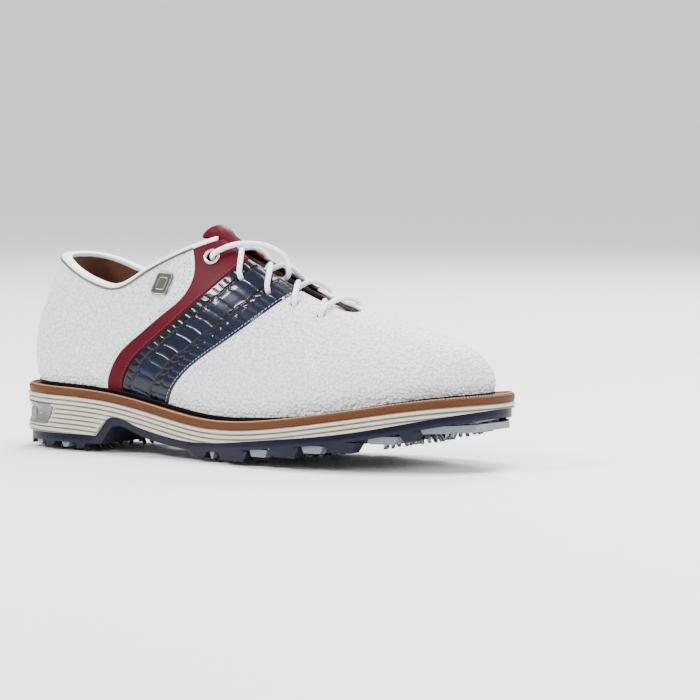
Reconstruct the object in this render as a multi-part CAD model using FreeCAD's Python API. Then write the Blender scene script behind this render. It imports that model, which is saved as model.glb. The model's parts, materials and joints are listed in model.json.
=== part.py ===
import FreeCAD, Part
import math
import os
from FreeCAD import Vector as V

# A right golf shoe. Working frame, in millimetres: toe +X, medial side +Y, up +Z, and the
# tips of the cleats that it stands on at z = 0. save() moves it all by PLACE, which brings
# the middle of the sole's plan outline to x = y = 0.

# ---------------------------------------------------------------- driving dimensions
# Plan outline of the sole's edge, from the heel round by the lateral side.
SOLE_OUTLINE = [
    (-152.5, 1), (-147, -19), (-128, -33.5), (-98, -37), (-55, -38.5), (-10, -45), (35, -54),
    (75, -53.5), (112, -42.5), (138, -21), (148.5, 10), (142, 31), (120, 45.5), (88, 52),
    (55, 52.5), (20, 45.5), (-20, 36), (-60, 32), (-98, 33.5), (-128, 33), (-147, 21)]
# Height of the welt's top, where the upper meets the sole.
FEATHER = [(-160, 35.5), (-112, 34.8), (-76, 32.6), (-36, 26.2), (-8, 22.8), (20, 23.1), (50, 26.1),
           (80, 30.6), (109, 35.3), (138, 39.2), (155, 39.6)]
# The upper's ridge, from the toe back over the instep, as (x, z).
RIDGE = [(141.5, 38.8), (138.5, 50), (129, 61.5), (111, 70), (88, 76.3), (62, 83.5), (36, 93),
         (12, 104.5), (-8, 115), (-25, 127), (-38, 141), (-50, 160), (-62, 190), (-75, 235),
         (-95, 340), (-160, 700)]
CENTRE = [(-160, 0), (-60, -1), (0, -1), (60, 0), (110, 5), (150, 10)]
# Exponents of the upper's cross-section, from the heel to the toe.
SHAPE_A = [(-160, 1.7), (-60, 1.7), (-20, 1.6), (30, 1.8), (80, 2.1), (150, 2.2)]
SHAPE_B = [(-160, 1.5), (-60, 1.5), (-20, 1.6), (30, 1.9), (80, 2.3), (150, 2.4)]
UPPER_INSET = [(-160, 4.5), (-100, 4.5), (-40, 5), (20, 6), (80, 6.5), (150, 7.5)]
HEEL_LEAN = [(-6, 0), (0, 0), (12, -0.5), (25, 0), (45, 5), (62, 12), (80, 20), (140, 30)]
SIDE_LEAN = [(-6, 1), (10, 1), (25, 1), (45, 0.94), (62, 0.85), (80, 0.8), (140, 0.75)]
TUCK, TUCK_HEIGHT = 3.0, 12.0

# Side-view lines, as (x, z).
HEEL_BOTTOM = 5.0
OUTSOLE_BOTTOM_HEEL = [(-160, HEEL_BOTTOM), (-84, HEEL_BOTTOM)]
OUTSOLE_BOTTOM_FRONT = [(-76, 15), (-72.5, 15.7), (-58, 12), (-40, 8), (-17, 5.8), (20, 8.1),
                        (51, 11.5), (91, 16.4), (125, 23.2), (160, 30)]
OUTSOLE_THICK = 4.6
TOPLINE_LATERAL = [(-150, 107), (-132, 106), (-120, 103.3), (-105, 97), (-90, 91.8), (-79, 90.3),
                   (-70, 93), (-61, 98.6), (-49, 105.5), (-36, 112), (-24, 117), (-10, 122),
                   (10, 130)]
TOPLINE_MEDIAL = [(-150, 107), (-132, 106), (-120, 103.5), (-105, 98), (-90, 93.5), (-79, 92.5),
                  (-70, 95.5), (-61, 101.5), (-49, 109), (-36, 116.5), (-24, 122.5), (-10, 129),
                  (10, 138)]
QUARTER_FRONT = [(-37, 126), (-33, 112), (-29.7, 99), (-33, 89), (-45, 78), (-61, 65.5),
                 (-73.5, 55), (-80, 44), (-82, 16)]
TRIM_FRONT = [(8, 126), (-3, 108), (-19, 91), (-34.5, 77), (-51.5, 63), (-65, 51), (-70.5, 41),
              (-72, 16)]
SADDLE_FRONT = [(58, 112), (33, 91.5), (20, 79.5), (10, 72), (-2, 64), (-18, 54), (-31.5, 42.5),
                (-38.5, 31), (-41, 16)]

# Layers of the upper, as distances out from the vamp's face.
PROUD_SADDLE, PROUD_TRIM, PROUD_QUARTER = 0.4, 0.7, 1.0
LEATHER_IN = -1.4
STIFFENER = (-1.5, -2.5)
LINING = (-2.6, -3.6)
TONGUE_FACE = (-7.6, -8.5)
TONGUE_FOAM = (-8.6, -9.6)
TONGUE_LINING = (-9.7, -10.2)

WELT_THICK, WELT_WIDTH = 4.0, 15.0
BOARD_THICK = 2.5
SOCKLINER_THICK = 4.0
BINDING_HEIGHT = 2.8

# Throat and lacing: rows run from the top of the instep down to the toe.
THROAT_HALF = 7.0
THROAT_FRONT = 60.0
LACE_R = 1.5
EYELET_HOLE_R = 2.3
RING_HOLE_R = 3.3
RING_BORE_R = 2.9
EYELET_ROWS = [(-22, 14.5), (-2, 15.5), (17.5, 16.5), (36, 17), (54, 17.5)]   # x, half spacing
THROAT_CENTRE = [(-70, -1), (-20, -1.5), (20, -3), (60, -4.5)]
RING_OUTER_R = 4.7
TONGUE_HALF = [(-36, 13), (-30, 20), (-20, 23), (0, 20.5), (40, 15.5), (70, 11)]
TONGUE_BACK, TONGUE_BASE, TONGUE_SPLIT = -26.0, 70.0, 0.0
TONGUE_CROWN = 3.5
TONGUE_HINGE_X = 62.0

# The lace's centre line, as distances out from the vamp's face.
LACE_OVER, LACE_OVER_RING, LACE_UNDER, LACE_UNDER_RING = 2.7, 4.1, -5.4, -5.5
LACE_CROSS_HIGH, LACE_CROSS_LOW = -1.2, -5.3
LACE_BEND = 0.45
AGLET_R, AGLET_LENGTH = 1.55, 6.0

BADGE_AT = (-47.5, 93.8)
BADGE_SIZE = (9.8, 12.6, 1.0)
BADGE_LEAN, BADGE_CORNER = 2.0, 1.8

# Cleats: plan position, and whether the seat is level.
CLEATS = [("cleat_front_lateral_1", 4, -31, True), ("cleat_front_lateral_2", 66, -35, False),
          ("cleat_front_lateral_3", 106, -22, False), ("cleat_front_toe", 122, 12, False),
          ("cleat_front_medial_2", 84, 33, False), ("cleat_front_medial_1", 18, 25, True),
          ("cleat_heel_lateral_1", -126, -16, True), ("cleat_heel_lateral_2", -101, -20.5, True),
          ("cleat_heel_medial_2", -101, 17.5, True), ("cleat_heel_medial_1", -126, 14, True)]
CLEAT_HEIGHT = 7.0
CLEAT_DISC_R, CLEAT_REACH_R = 7.5, 10.6
STEM_R, STEM_LENGTH = 3.4, 2.7
RECEPTACLE_R, RECEPTACLE_BORE_R, RECEPTACLE_DEPTH = 6.0, 3.46, 3.0
CLEAT_CLEAR_R = 11.4

# Lugs and the inserts between them: place along the shoe and width at the top.
LUGS = [(-142, 9), (-121, 10), (-98, 9), (-10.5, 13), (15.5, 24), (52.5, 20), (86, 19), (119.5, 9)]
INSERTS = [(-132, 7), (-109.5, 6), (-1, 4), (34.5, 13), (69.5, 13), (107.5, 15), (134, 20)]
LUG_DROP, LUG_TAPER, LUG_CLEAR = 5.2, 3.4, 2.2
INSERT_DROP, INSERT_TAPER = 4.0, 1.6
HEEL_CLIP = [(-160, 14.4), (-160, 26.2), (-120, 25.4), (-117.2, 23.6), (-118.4, 20), (-122, 14.8),
             (-125, 14.4)]
CLIP_PROUD, CLIP_DEPTH = 0.8, 2.0
EMBLEM_X, EMBLEM_Z, EMBLEM_R = -137, 20.0, 4.2


# ---------------------------------------------------------------- curves
def spline(points):
    """Smooth function y(x) through points with x rising, straight beyond both ends."""
    xs = [p[0] for p in points]
    ys = [p[1] for p in points]
    n = len(xs)
    h = [xs[i + 1] - xs[i] for i in range(n - 1)]
    m, c, d = [0.0] * n, [0.0] * n, [0.0] * n
    for i in range(1, n - 1):
        r = 6 * ((ys[i + 1] - ys[i]) / h[i] - (ys[i] - ys[i - 1]) / h[i - 1])
        den = 2 * (h[i - 1] + h[i]) - h[i - 1] * c[i - 1]
        c[i] = h[i] / den
        d[i] = (r - h[i - 1] * d[i - 1]) / den
    for i in range(n - 2, 0, -1):
        m[i] = d[i] - c[i] * m[i + 1]
    first = (ys[1] - ys[0]) / h[0] - h[0] * m[1] / 6
    last = (ys[-1] - ys[-2]) / h[-1] + h[-1] * m[-2] / 6

    def value(x):
        if x <= xs[0]:
            return ys[0] + first * (x - xs[0])
        if x >= xs[-1]:
            return ys[-1] + last * (x - xs[-1])
        i = max(k for k in range(n - 1) if xs[k] <= x)
        a, b = (xs[i + 1] - x) / h[i], (x - xs[i]) / h[i]
        bend = (a ** 3 - a) * m[i] + (b ** 3 - b) * m[i + 1]
        return a * ys[i] + b * ys[i + 1] + bend * h[i] ** 2 / 6
    return value


def through(points, count, wrap=0):
    """count points along the smooth curve through points; wrap closes it over that many."""
    n = len(points)
    run = [points[i % n] for i in range(-wrap, n + wrap + (1 if wrap else 0))]
    t = [0.0]
    for a, b in zip(run, run[1:]):
        t.append(t[-1] + math.hypot(b[0] - a[0], b[1] - a[1]))
    fx = spline(list(zip(t, [p[0] for p in run])))
    fy = spline(list(zip(t, [p[1] for p in run])))
    t0, t1 = t[wrap], t[-1 - wrap]
    steps = count if wrap else count - 1
    return [(fx(t0 + (t1 - t0) * i / steps), fy(t0 + (t1 - t0) * i / steps)) for i in range(count)]


def inset(points, amount):
    """A closed anticlockwise outline moved inward by amount(x)."""
    out = []
    for i, (x, y) in enumerate(points):
        (x0, y0), (x1, y1) = points[i - 1], points[(i + 1) % len(points)]
        tx, ty = x1 - x0, y1 - y0
        length = math.hypot(tx, ty)
        out.append((x - ty / length * amount(x), y + tx / length * amount(x)))
    return out


feather, centre = spline(FEATHER), spline(CENTRE)
shape_a, shape_b, upper_inset = spline(SHAPE_A), spline(SHAPE_B), spline(UPPER_INSET)
heel_lean, side_lean = spline(HEEL_LEAN), spline(SIDE_LEAN)
throat_centre = spline(THROAT_CENTRE)
bottom_front = spline(OUTSOLE_BOTTOM_FRONT)
SOLE = through(SOLE_OUTLINE, 180, wrap=4)
UPPER_PLAN = inset(SOLE, upper_inset)
PLACE = V(-(min(p[0] for p in SOLE) - CLIP_PROUD + max(p[0] for p in SOLE)) / 2,
          -(min(p[1] for p in SOLE) + max(p[1] for p in SOLE)) / 2, 0)


# ---------------------------------------------------------------- the upper's form
TABLE_LOW, TABLE_STEP, TABLE_COUNT = -160.0, 0.5, 641


def plan_half(x, side):
    """Half-width of the upper's plan from its centre line; side -1 is lateral."""
    best = -1.0
    for i, (x1, y1) in enumerate(UPPER_PLAN):
        x0, y0 = UPPER_PLAN[i - 1]
        if (x0 - x) * (x1 - x) <= 0 and x0 != x1:
            y = y0 + (y1 - y0) * (x - x0) / (x1 - x0)
            best = max(best, (y - centre(x)) * side)
    return best


def ridge_over_feather():
    """The ridge's height over the feather line, at every step of x."""
    line = through(RIDGE, 401)
    out = []
    for i in range(TABLE_COUNT):
        x = TABLE_LOW + TABLE_STEP * i
        high = 0.0
        for (x1, z1), (x0, z0) in zip(line, line[1:]):
            if x0 <= x <= x1:
                high = z0 + (z1 - z0) * (x - x0) / (x1 - x0 + 1e-9) - feather(x)
                break
        out.append(high)
    return out


HALF = {s: [plan_half(TABLE_LOW + TABLE_STEP * i, s) for i in range(TABLE_COUNT)] for s in (-1, 1)}
HIGH = ridge_over_feather()


def lookup(table, x, beyond):
    """Value at x in a table with one entry for each step of x."""
    f = (x - TABLE_LOW) / TABLE_STEP
    i = int(f)
    if f < 0 or i >= TABLE_COUNT - 1:
        return beyond
    return table[i] + (table[i + 1] - table[i]) * (f - i)


def half_at(x, h, side):
    """Half-width of the upper at x and at height h over the feather line."""
    high = lookup(HIGH, x, HIGH[0] if x < 0 else 0.0)
    if h >= high or high <= 0:
        return -1.0
    fade = min(1.0, max(0.0, (-40 - x) / 90.0))
    fade = fade * fade * (3 - 2 * fade)
    width = lookup(HALF[side], x - heel_lean(h) * fade, -1.0)
    if width <= 0:
        return -1.0
    rise = (1 - (max(0.0, h) / high) ** shape_a(x)) ** (1 / shape_b(x))
    return width * rise * (1 + (side_lean(h) - 1) * fade)


def ridge_front(z):
    """x of the ridge at height z."""
    low, high = -150.0, 141.4
    for _ in range(36):
        mid = (low + high) / 2
        if lookup(HIGH, mid, 0.0) > max(z - feather(mid), 0.3):
            low = mid
        else:
            high = mid
    return low


SIDE_RAYS, FAN_RAYS = 10, 7
SPINE_BACK, SPINE_LEAD = -112.0, 34.0
REACH = 80.0


def waterline(z):
    """Closed plan curve of the upper's face at height z, by rays from a spine."""
    front = ridge_front(z)
    lead = max(SPINE_BACK + 8, front - SPINE_LEAD)
    rays = [(SPINE_BACK + (lead - SPINE_BACK) * i / SIDE_RAYS, -math.pi / 2) for i in range(SIDE_RAYS)]
    rays += [(lead, -math.pi / 2 + math.pi * i / (2 * FAN_RAYS)) for i in range(2 * FAN_RAYS + 1)]
    rays += [(lead + (SPINE_BACK - lead) * i / SIDE_RAYS, math.pi / 2) for i in range(1, SIDE_RAYS + 1)]
    rays += [(SPINE_BACK, math.pi / 2 + math.pi * i / (2 * FAN_RAYS)) for i in range(1, 2 * FAN_RAYS)]
    out = []
    for x0, angle in rays:
        dx, dy = math.cos(angle), math.sin(angle)
        y0 = centre(x0)
        low, high = 0.0, REACH
        for _ in range(26):
            r = (low + high) / 2
            x, y = x0 + dx * r, y0 + dy * r
            side = 1 if y > centre(x) else -1
            if abs(y - centre(x)) < half_at(x, max(z - feather(x), 0.0), side):
                low = r
            else:
                high = r
        over = max(z - feather(x0 + dx * low), 0.0)
        r = max(low - TUCK * max(0.0, 1 - over / TUCK_HEIGHT) ** 2, 0.0)
        out.append(V(x0 + dx * r, y0 + dy * r, z))
    return out


RING_HEIGHTS = [14 + 4 * i for i in range(30)] + [137, 145, 155, 168, 184]
RINGS = [waterline(z) for z in RING_HEIGHTS]


def normal_at(i, j):
    """Outward normal of the form at ring i, point j; level on the first and last rings."""
    ring, n = RINGS[i], len(RINGS[i])
    along = ring[(j + 1) % n] - ring[j - 1]
    up = RINGS[min(i + 1, len(RINGS) - 1)][j] - RINGS[max(i - 1, 0)][j]
    out = along.cross(up)
    if i in (0, len(RINGS) - 1):
        out.z = 0
    return out.normalize()


NORMALS = [[normal_at(i, j) for j in range(len(RINGS[i]))] for i in range(len(RINGS))]


def solid_of(faces):
    """Closed solid from faces that share their edges."""
    shell = Part.Shell(faces)
    if not shell.isClosed():
        shell.sewShape()
    solid = Part.Solid(shell)
    if solid.Volume < 0:
        solid.reverse()
    return solid


def form(offset):
    """Solid of the foot form, its side face moved out by offset along the normals."""
    poles = [[ring[j] + NORMALS[i][j] * offset for j in range(len(ring))]
             for i, ring in enumerate(RINGS)]
    rows, cols = len(poles), len(poles[0])
    grid = [[poles[i][j] for i in range(rows)] for j in range(cols)]
    surface = Part.BSplineSurface()
    v_knots = list(range(rows - 2))
    v_mults = [4] + [1] * (rows - 4) + [4]
    surface.buildFromPolesMultsKnots(grid, [1] * (cols + 1), v_mults, list(range(cols + 1)),
                                     v_knots, True, False, 3, 3)
    side = surface.toShape()
    rims = [e for e in side.Edges if abs(e.BoundBox.ZLength) < 1e-6]
    caps = [Part.Face(Part.Wire([e])) for e in rims]
    return solid_of([side] + caps)


def on_form(x, y, offset):
    """Point of the form's top at plan position (x, y), moved out by offset, and the normal."""
    def height(px, py):
        side = 1 if py > centre(px) else -1
        low, high = 0.0, lookup(HIGH, px, 0.0)
        for _ in range(26):
            mid = (low + high) / 2
            if half_at(px, mid, side) > abs(py - centre(px)):
                low = mid
            else:
                high = mid
        return feather(px) + low
    step = 1.5
    z = height(x, y)
    zx = (height(x + step, y) - height(x - step, y)) / (2 * step)
    zy = (height(x, y + step) - height(x, y - step)) / (2 * step)
    n = V(-zx, -zy, 1).normalize()
    return V(x, y, z) + n * offset, n


# ---------------------------------------------------------------- prisms
def curve_edge(points):
    """One smooth edge through points."""
    curve = Part.BSplineCurve()
    curve.interpolate(points)
    return curve.toShape()


def plan_prism(outline, z0, z1):
    """Upright prism on a closed plan outline."""
    curve = Part.BSplineCurve()
    curve.interpolate(Points=[V(x, y, z0) for x, y in outline[::3]], PeriodicFlag=True)
    return Part.Face(Part.Wire([curve.toShape()])).extrude(V(0, 0, z1 - z0))


def sole_prism(amount, z0=-5.0, z1=60.0):
    """Upright prism on the sole's outline, amount in from its edge."""
    return plan_prism(inset(SOLE, lambda x: amount) if amount else SOLE, z0, z1)


def side_prism(paths, y0, y1):
    """Prism along Y whose side view is closed by paths: (points, smooth) pairs, joined up."""
    edges = []
    ends = [(path[0][0], path[0][-1]) for path in paths]
    for k, (points, smooth) in enumerate(paths):
        line = [V(x, y0, z) for x, z in points]
        if smooth:
            edges.append(curve_edge(line))
        else:
            edges += [Part.makeLine(a, b) for a, b in zip(line, line[1:])]
        stop, start = ends[k][1], ends[(k + 1) % len(ends)][0]
        if stop != start:
            edges.append(Part.makeLine(V(stop[0], y0, stop[1]), V(start[0], y0, start[1])))
    return Part.Face(Part.Wire(edges)).extrude(V(0, y1 - y0, 0))


def line_of(function, x0, x1, count=16, lift=0.0):
    """Points (x, z) of a side-view function, raised by lift."""
    return [(x0 + (x1 - x0) * i / (count - 1), function(x0 + (x1 - x0) * i / (count - 1)) + lift)
            for i in range(count)]


def feather_band(low, high, x0=-162.0, x1=162.0):
    """Prism between two heights counted from the feather line."""
    return side_prism([(line_of(feather, x0, x1, lift=low), True),
                       (line_of(feather, x1, x0, lift=high), True)], -80, 80)


def outsole_line(lift, back=0.0):
    """Side-view paths of the outsole's bottom, raised by lift and its step moved back."""
    heel = [(OUTSOLE_BOTTOM_HEEL[0][0], HEEL_BOTTOM + lift),
            (OUTSOLE_BOTTOM_HEEL[1][0] - back, HEEL_BOTTOM + lift),
            (OUTSOLE_BOTTOM_FRONT[0][0] - back * 0.7, OUTSOLE_BOTTOM_FRONT[0][1] + lift)]
    front = [(x - (back * 0.7 if i == 0 else 0), z + lift)
             for i, (x, z) in enumerate(OUTSOLE_BOTTOM_FRONT)]
    return [(heel, False), (front, True)]


def below(lift, back=0.0, floor=-20.0):
    """Everything under the outsole's bottom line raised by lift."""
    return side_prism(outsole_line(lift, back) + [([(160, floor), (-160, floor)], False)], -80, 80)


def sole_bottom(x):
    """Height of the outsole's bottom at x."""
    return HEEL_BOTTOM if x < OUTSOLE_BOTTOM_HEEL[1][0] else bottom_front(x)


def largest(shape):
    """The biggest solid of a shape, without the slivers beside it."""
    return max(shape.Solids, key=lambda s: s.Volume)


def save(name, shape):
    """Write one node, moved to the part's frame."""
    shape = shape.copy()
    shape.translate(PLACE)
    if not shape.isValid():
        shape.fix(0.01, 0.01, 0.01)
    shape.exportStep("parts/" + name + ".step")
    solids = shape.Solids
    print("%-28s %2d solids %9.1f mm3 %s" % (name, len(solids), sum(s.Volume for s in solids),
                                            "" if shape.isValid() else "INVALID"))


# ---------------------------------------------------------------- sole
def seat_frame(x, y, level):
    """Placement of a cleat seat: origin on the sole's underside, local +Z down along its normal."""
    if level:
        return FreeCAD.Placement(V(x, y, CLEAT_HEIGHT), FreeCAD.Rotation(V(1, 0, 0), 180))
    slope = (sole_bottom(x + 2) - sole_bottom(x - 2)) / 4
    down = V(slope, 0, -1).normalize()
    return FreeCAD.Placement(V(x, y, sole_bottom(x)), FreeCAD.Rotation(V(0, 0, 1), down))


def placed(shape, placement):
    """A copy of shape, moved from a seat's local frame to its place."""
    out = shape.copy()
    out.Placement = placement
    return out


def cleat():
    """One cleat in its local frame: stem up into the receptacle, disc, and eight legs."""
    body = Part.makeCylinder(STEM_R, STEM_LENGTH + 0.8, V(0, 0, -STEM_LENGTH))
    body = body.fuse(Part.makeCone(CLEAT_DISC_R - 0.8, CLEAT_DISC_R, 0.8, V(0, 0, 0.3)))
    body = body.fuse(Part.makeCylinder(CLEAT_DISC_R, 1.2, V(0, 0, 1.1)))
    leg_side = [(4.0, 2.0), (7.0, 1.3), (CLEAT_REACH_R, 6.3), (CLEAT_REACH_R - 0.3, CLEAT_HEIGHT),
                (CLEAT_REACH_R - 2.0, CLEAT_HEIGHT), (5.6, 3.2)]
    width = 2.2
    wire = Part.makePolygon([V(r, -width / 2, d) for r, d in leg_side + leg_side[:1]])
    leg = Part.Face(wire).extrude(V(0, width, 0))
    for k in range(8):
        turned = leg.copy()
        turned.rotate(V(0, 0, 0), V(0, 0, 1), 45 * k + 22.5)
        body = body.fuse(turned)
    hub = Part.makeCone(3.6, 2.6, 1.6, V(0, 0, 2.3))
    return largest(body.fuse(hub).removeSplitter())


def trapezoids(places, rise, drop, taper):
    """Prisms across the shoe, each with a wide top at the outsole and a narrow foot."""
    out = []
    for x, width in places:
        z = sole_bottom(x)
        foot = max(z - drop, LUG_CLEAR)
        points = [(x - width / 2, z + rise), (x + width / 2, z + rise),
                  (x + width / 2 - taper, foot), (x - width / 2 + taper, foot),
                  (x - width / 2, z + rise)]
        out.append(side_prism([(points, False)], -80, 80))
    return Part.makeCompound(out)


def build_sole():
    """Outsole with its lugs and inserts, cleats, receptacles, midsole and heel clip."""
    seats = [(name, seat_frame(x, y, level), level) for name, x, y, level in CLEATS]
    edge = sole_prism(0.9)
    plate = edge.common(below(OUTSOLE_THICK, 3.2)).cut(below(0))
    rim = edge.cut(sole_prism(8.5))
    lugs = rim.common(trapezoids(LUGS, 0.5, LUG_DROP, LUG_TAPER))
    insert_rim = sole_prism(2.0).cut(sole_prism(7.5))
    inserts = insert_rim.common(trapezoids(INSERTS, 0, INSERT_DROP, INSERT_TAPER)).common(below(0))
    pockets, wells, rings, cleats = [], [], [], []
    one = cleat()
    ring = Part.makeCylinder(RECEPTACLE_R, RECEPTACLE_DEPTH, V(0, 0, -RECEPTACLE_DEPTH)).cut(
        Part.makeCylinder(RECEPTACLE_BORE_R, RECEPTACLE_DEPTH + 2, V(0, 0, -RECEPTACLE_DEPTH - 1)))
    for name, seat, level in seats:
        wells.append(placed(Part.makeCylinder(CLEAT_CLEAR_R, 12), seat))
        pockets.append(placed(Part.makeCylinder(RECEPTACLE_R, 20, V(0, 0, -RECEPTACLE_DEPTH)), seat))
        rings.append(placed(ring, seat))
        cleats.append((name, placed(one, seat)))
    bosses = []
    for name, seat, level in seats:
        if level:
            bosses.append(placed(Part.makeCylinder(CLEAT_CLEAR_R - 0.4, 4.2, V(0, 0, -4.2)), seat))
    outsole = plate.fuse([s for s in lugs.Solids] + bosses)
    outsole = outsole.common(below(40, 3.2, floor=-30)).cut(wells).cut(pockets)
    save("outsole", largest(outsole))
    well_tool = Part.makeCompound(wells)
    clear = inserts.cut(well_tool).cut(lugs)
    heel = [s for s in clear.Solids if s.BoundBox.XMax < -60 and s.Volume > 2]
    front = [s for s in clear.Solids if s.BoundBox.XMin > -60 and s.Volume > 2]
    save("traction_inserts_heel", Part.makeCompound(heel))
    save("traction_inserts_forefoot", Part.makeCompound(front))
    save("cleat_receptacles", Part.makeCompound(rings))
    for name, solid in cleats:
        save(name, solid)
    for name, seat, level in seats:
        at = seat.Base + PLACE
        axis = seat.Rotation.multVec(V(0, 0, -1))
        print("hinge %s at %.5f %.5f %.5f axis %.5f %.5f %.5f" % (
            name, at.x / 1000, at.y / 1000, at.z / 1000, axis.x, axis.y, axis.z))

    full = sole_prism(0)
    clip_face = side_prism([(HEEL_CLIP, False)], -80, 80)
    clip_ring = sole_prism(-CLIP_PROUD).cut(sole_prism(CLIP_DEPTH))
    clip = clip_ring.common(clip_face)
    save("heel_clip", largest(clip))
    under_welt = side_prism([(line_of(feather, 162, -162, lift=-WELT_THICK), True),
                             ([(-162, -20), (162, -20)], False)], -80, 80)
    midsole = full.common(under_welt).cut(below(OUTSOLE_THICK, 3.2)).cut(clip)
    for boss in bosses:
        midsole = midsole.cut(boss)
    save("midsole", largest(midsole))
    emblem_at = [p for p in SOLE if p[1] < 0 and p[0] < -120]
    spot = min(emblem_at, key=lambda p: abs(p[0] - EMBLEM_X))
    i = SOLE.index(spot)
    tangent = V(SOLE[i + 1][0] - SOLE[i - 1][0], SOLE[i + 1][1] - SOLE[i - 1][1], 0).normalize()
    out = V(tangent.y, -tangent.x, 0)
    face = V(spot[0], spot[1], EMBLEM_Z) + out * (CLIP_PROUD + 0.02)
    disc = Part.makeCylinder(EMBLEM_R, 0.9, face, out)
    save("heel_clip_emblem", disc)

    welt = full.common(feather_band(-WELT_THICK, 0)).cut(sole_prism(WELT_WIDTH))
    save("welt", largest(welt))
    inner = sole_prism(WELT_WIDTH + 0.1)
    save("insole_board", largest(inner.common(feather_band(-BOARD_THICK, 0))))
    low_band = feather_band(-WELT_THICK + 0.02, -BOARD_THICK - 0.02)
    save("forefoot_filler", largest(inner.common(low_band).common(
        Part.makeBox(200, 160, 80, V(-14, -80, 0)))))
    save("shank", largest(low_band.common(Part.makeBox(78, 15, 80, V(-94, -7.5, 0)))))


# ---------------------------------------------------------------- upper
SIDE_SPAN = {-1: (-80.0, 0.0), 1: (0.0, 80.0), 0: (-80.0, 80.0)}


def region(back, front, side, top=None, base=0.02):
    """Side-view prism between two seams (None is open), under a topline, for one side."""
    y0, y1 = SIDE_SPAN[side]
    seams = []
    if back:
        seams.append((back[::-1], True))
    else:
        seams.append(([(-170, 16), (-170, 126)], False))
    if front:
        seams.append((front, True))
    else:
        seams.append(([(160, 126), (160, 16)], False))
    shape = side_prism(seams, y0, y1)
    floor = side_prism([(line_of(feather, -172, 162, 24, lift=base), True),
                        ([(162, 200), (-172, 200)], False)], -80, 80)
    shape = shape.common(floor)
    if top:
        roof = side_prism([(top, True), ([(200, 130), (200, 0), (-190, 0), (-190, 107)], False)],
                          -80, 80)
        shape = shape.common(roof)
    return shape


def throat_tool():
    """Upright prism of the throat opening, round at its front end."""
    left = [(x, throat_centre(x) - THROAT_HALF) for x in (-75, -50, -25, 0, 25, 50, THROAT_FRONT)]
    right = [(x, throat_centre(x) + THROAT_HALF) for x, y in reversed(left)]
    nose = throat_centre(THROAT_FRONT)
    edges = [curve_edge([V(x, y, 60) for x, y in left]),
             Part.Arc(V(left[-1][0], left[-1][1], 60), V(THROAT_FRONT + THROAT_HALF, nose, 60),
                      V(right[0][0], right[0][1], 60)).toShape(),
             curve_edge([V(x, y, 60) for x, y in right]),
             Part.makeLine(V(right[-1][0], right[-1][1], 60), V(left[0][0], left[0][1], 60))]
    return Part.Face(Part.Wire(edges)).extrude(V(0, 0, 140))


def eyelet_at(row, side, offset):
    """Point and normal of an eyelet of one row."""
    x, spacing = EYELET_ROWS[row]
    return on_form(x, throat_centre(x) + side * spacing, offset)


def eyelet_drills():
    """One drill for each eyelet hole, along the local normal."""
    out = []
    for row in range(len(EYELET_ROWS)):
        for side in (-1, 1):
            at, n = eyelet_at(row, side, -8)
            out.append(Part.makeCylinder(RING_HOLE_R if row == 0 else EYELET_HOLE_R, 16, at, n))
    return out


def panel(outer, inner, prism, cuts):
    """Piece of the upper's wall between two forms, inside a prism, less some cuts."""
    shape = prism.common(outer).cut(inner)
    for tool in cuts:
        shape = shape.cut(tool)
    return largest(shape)


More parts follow.
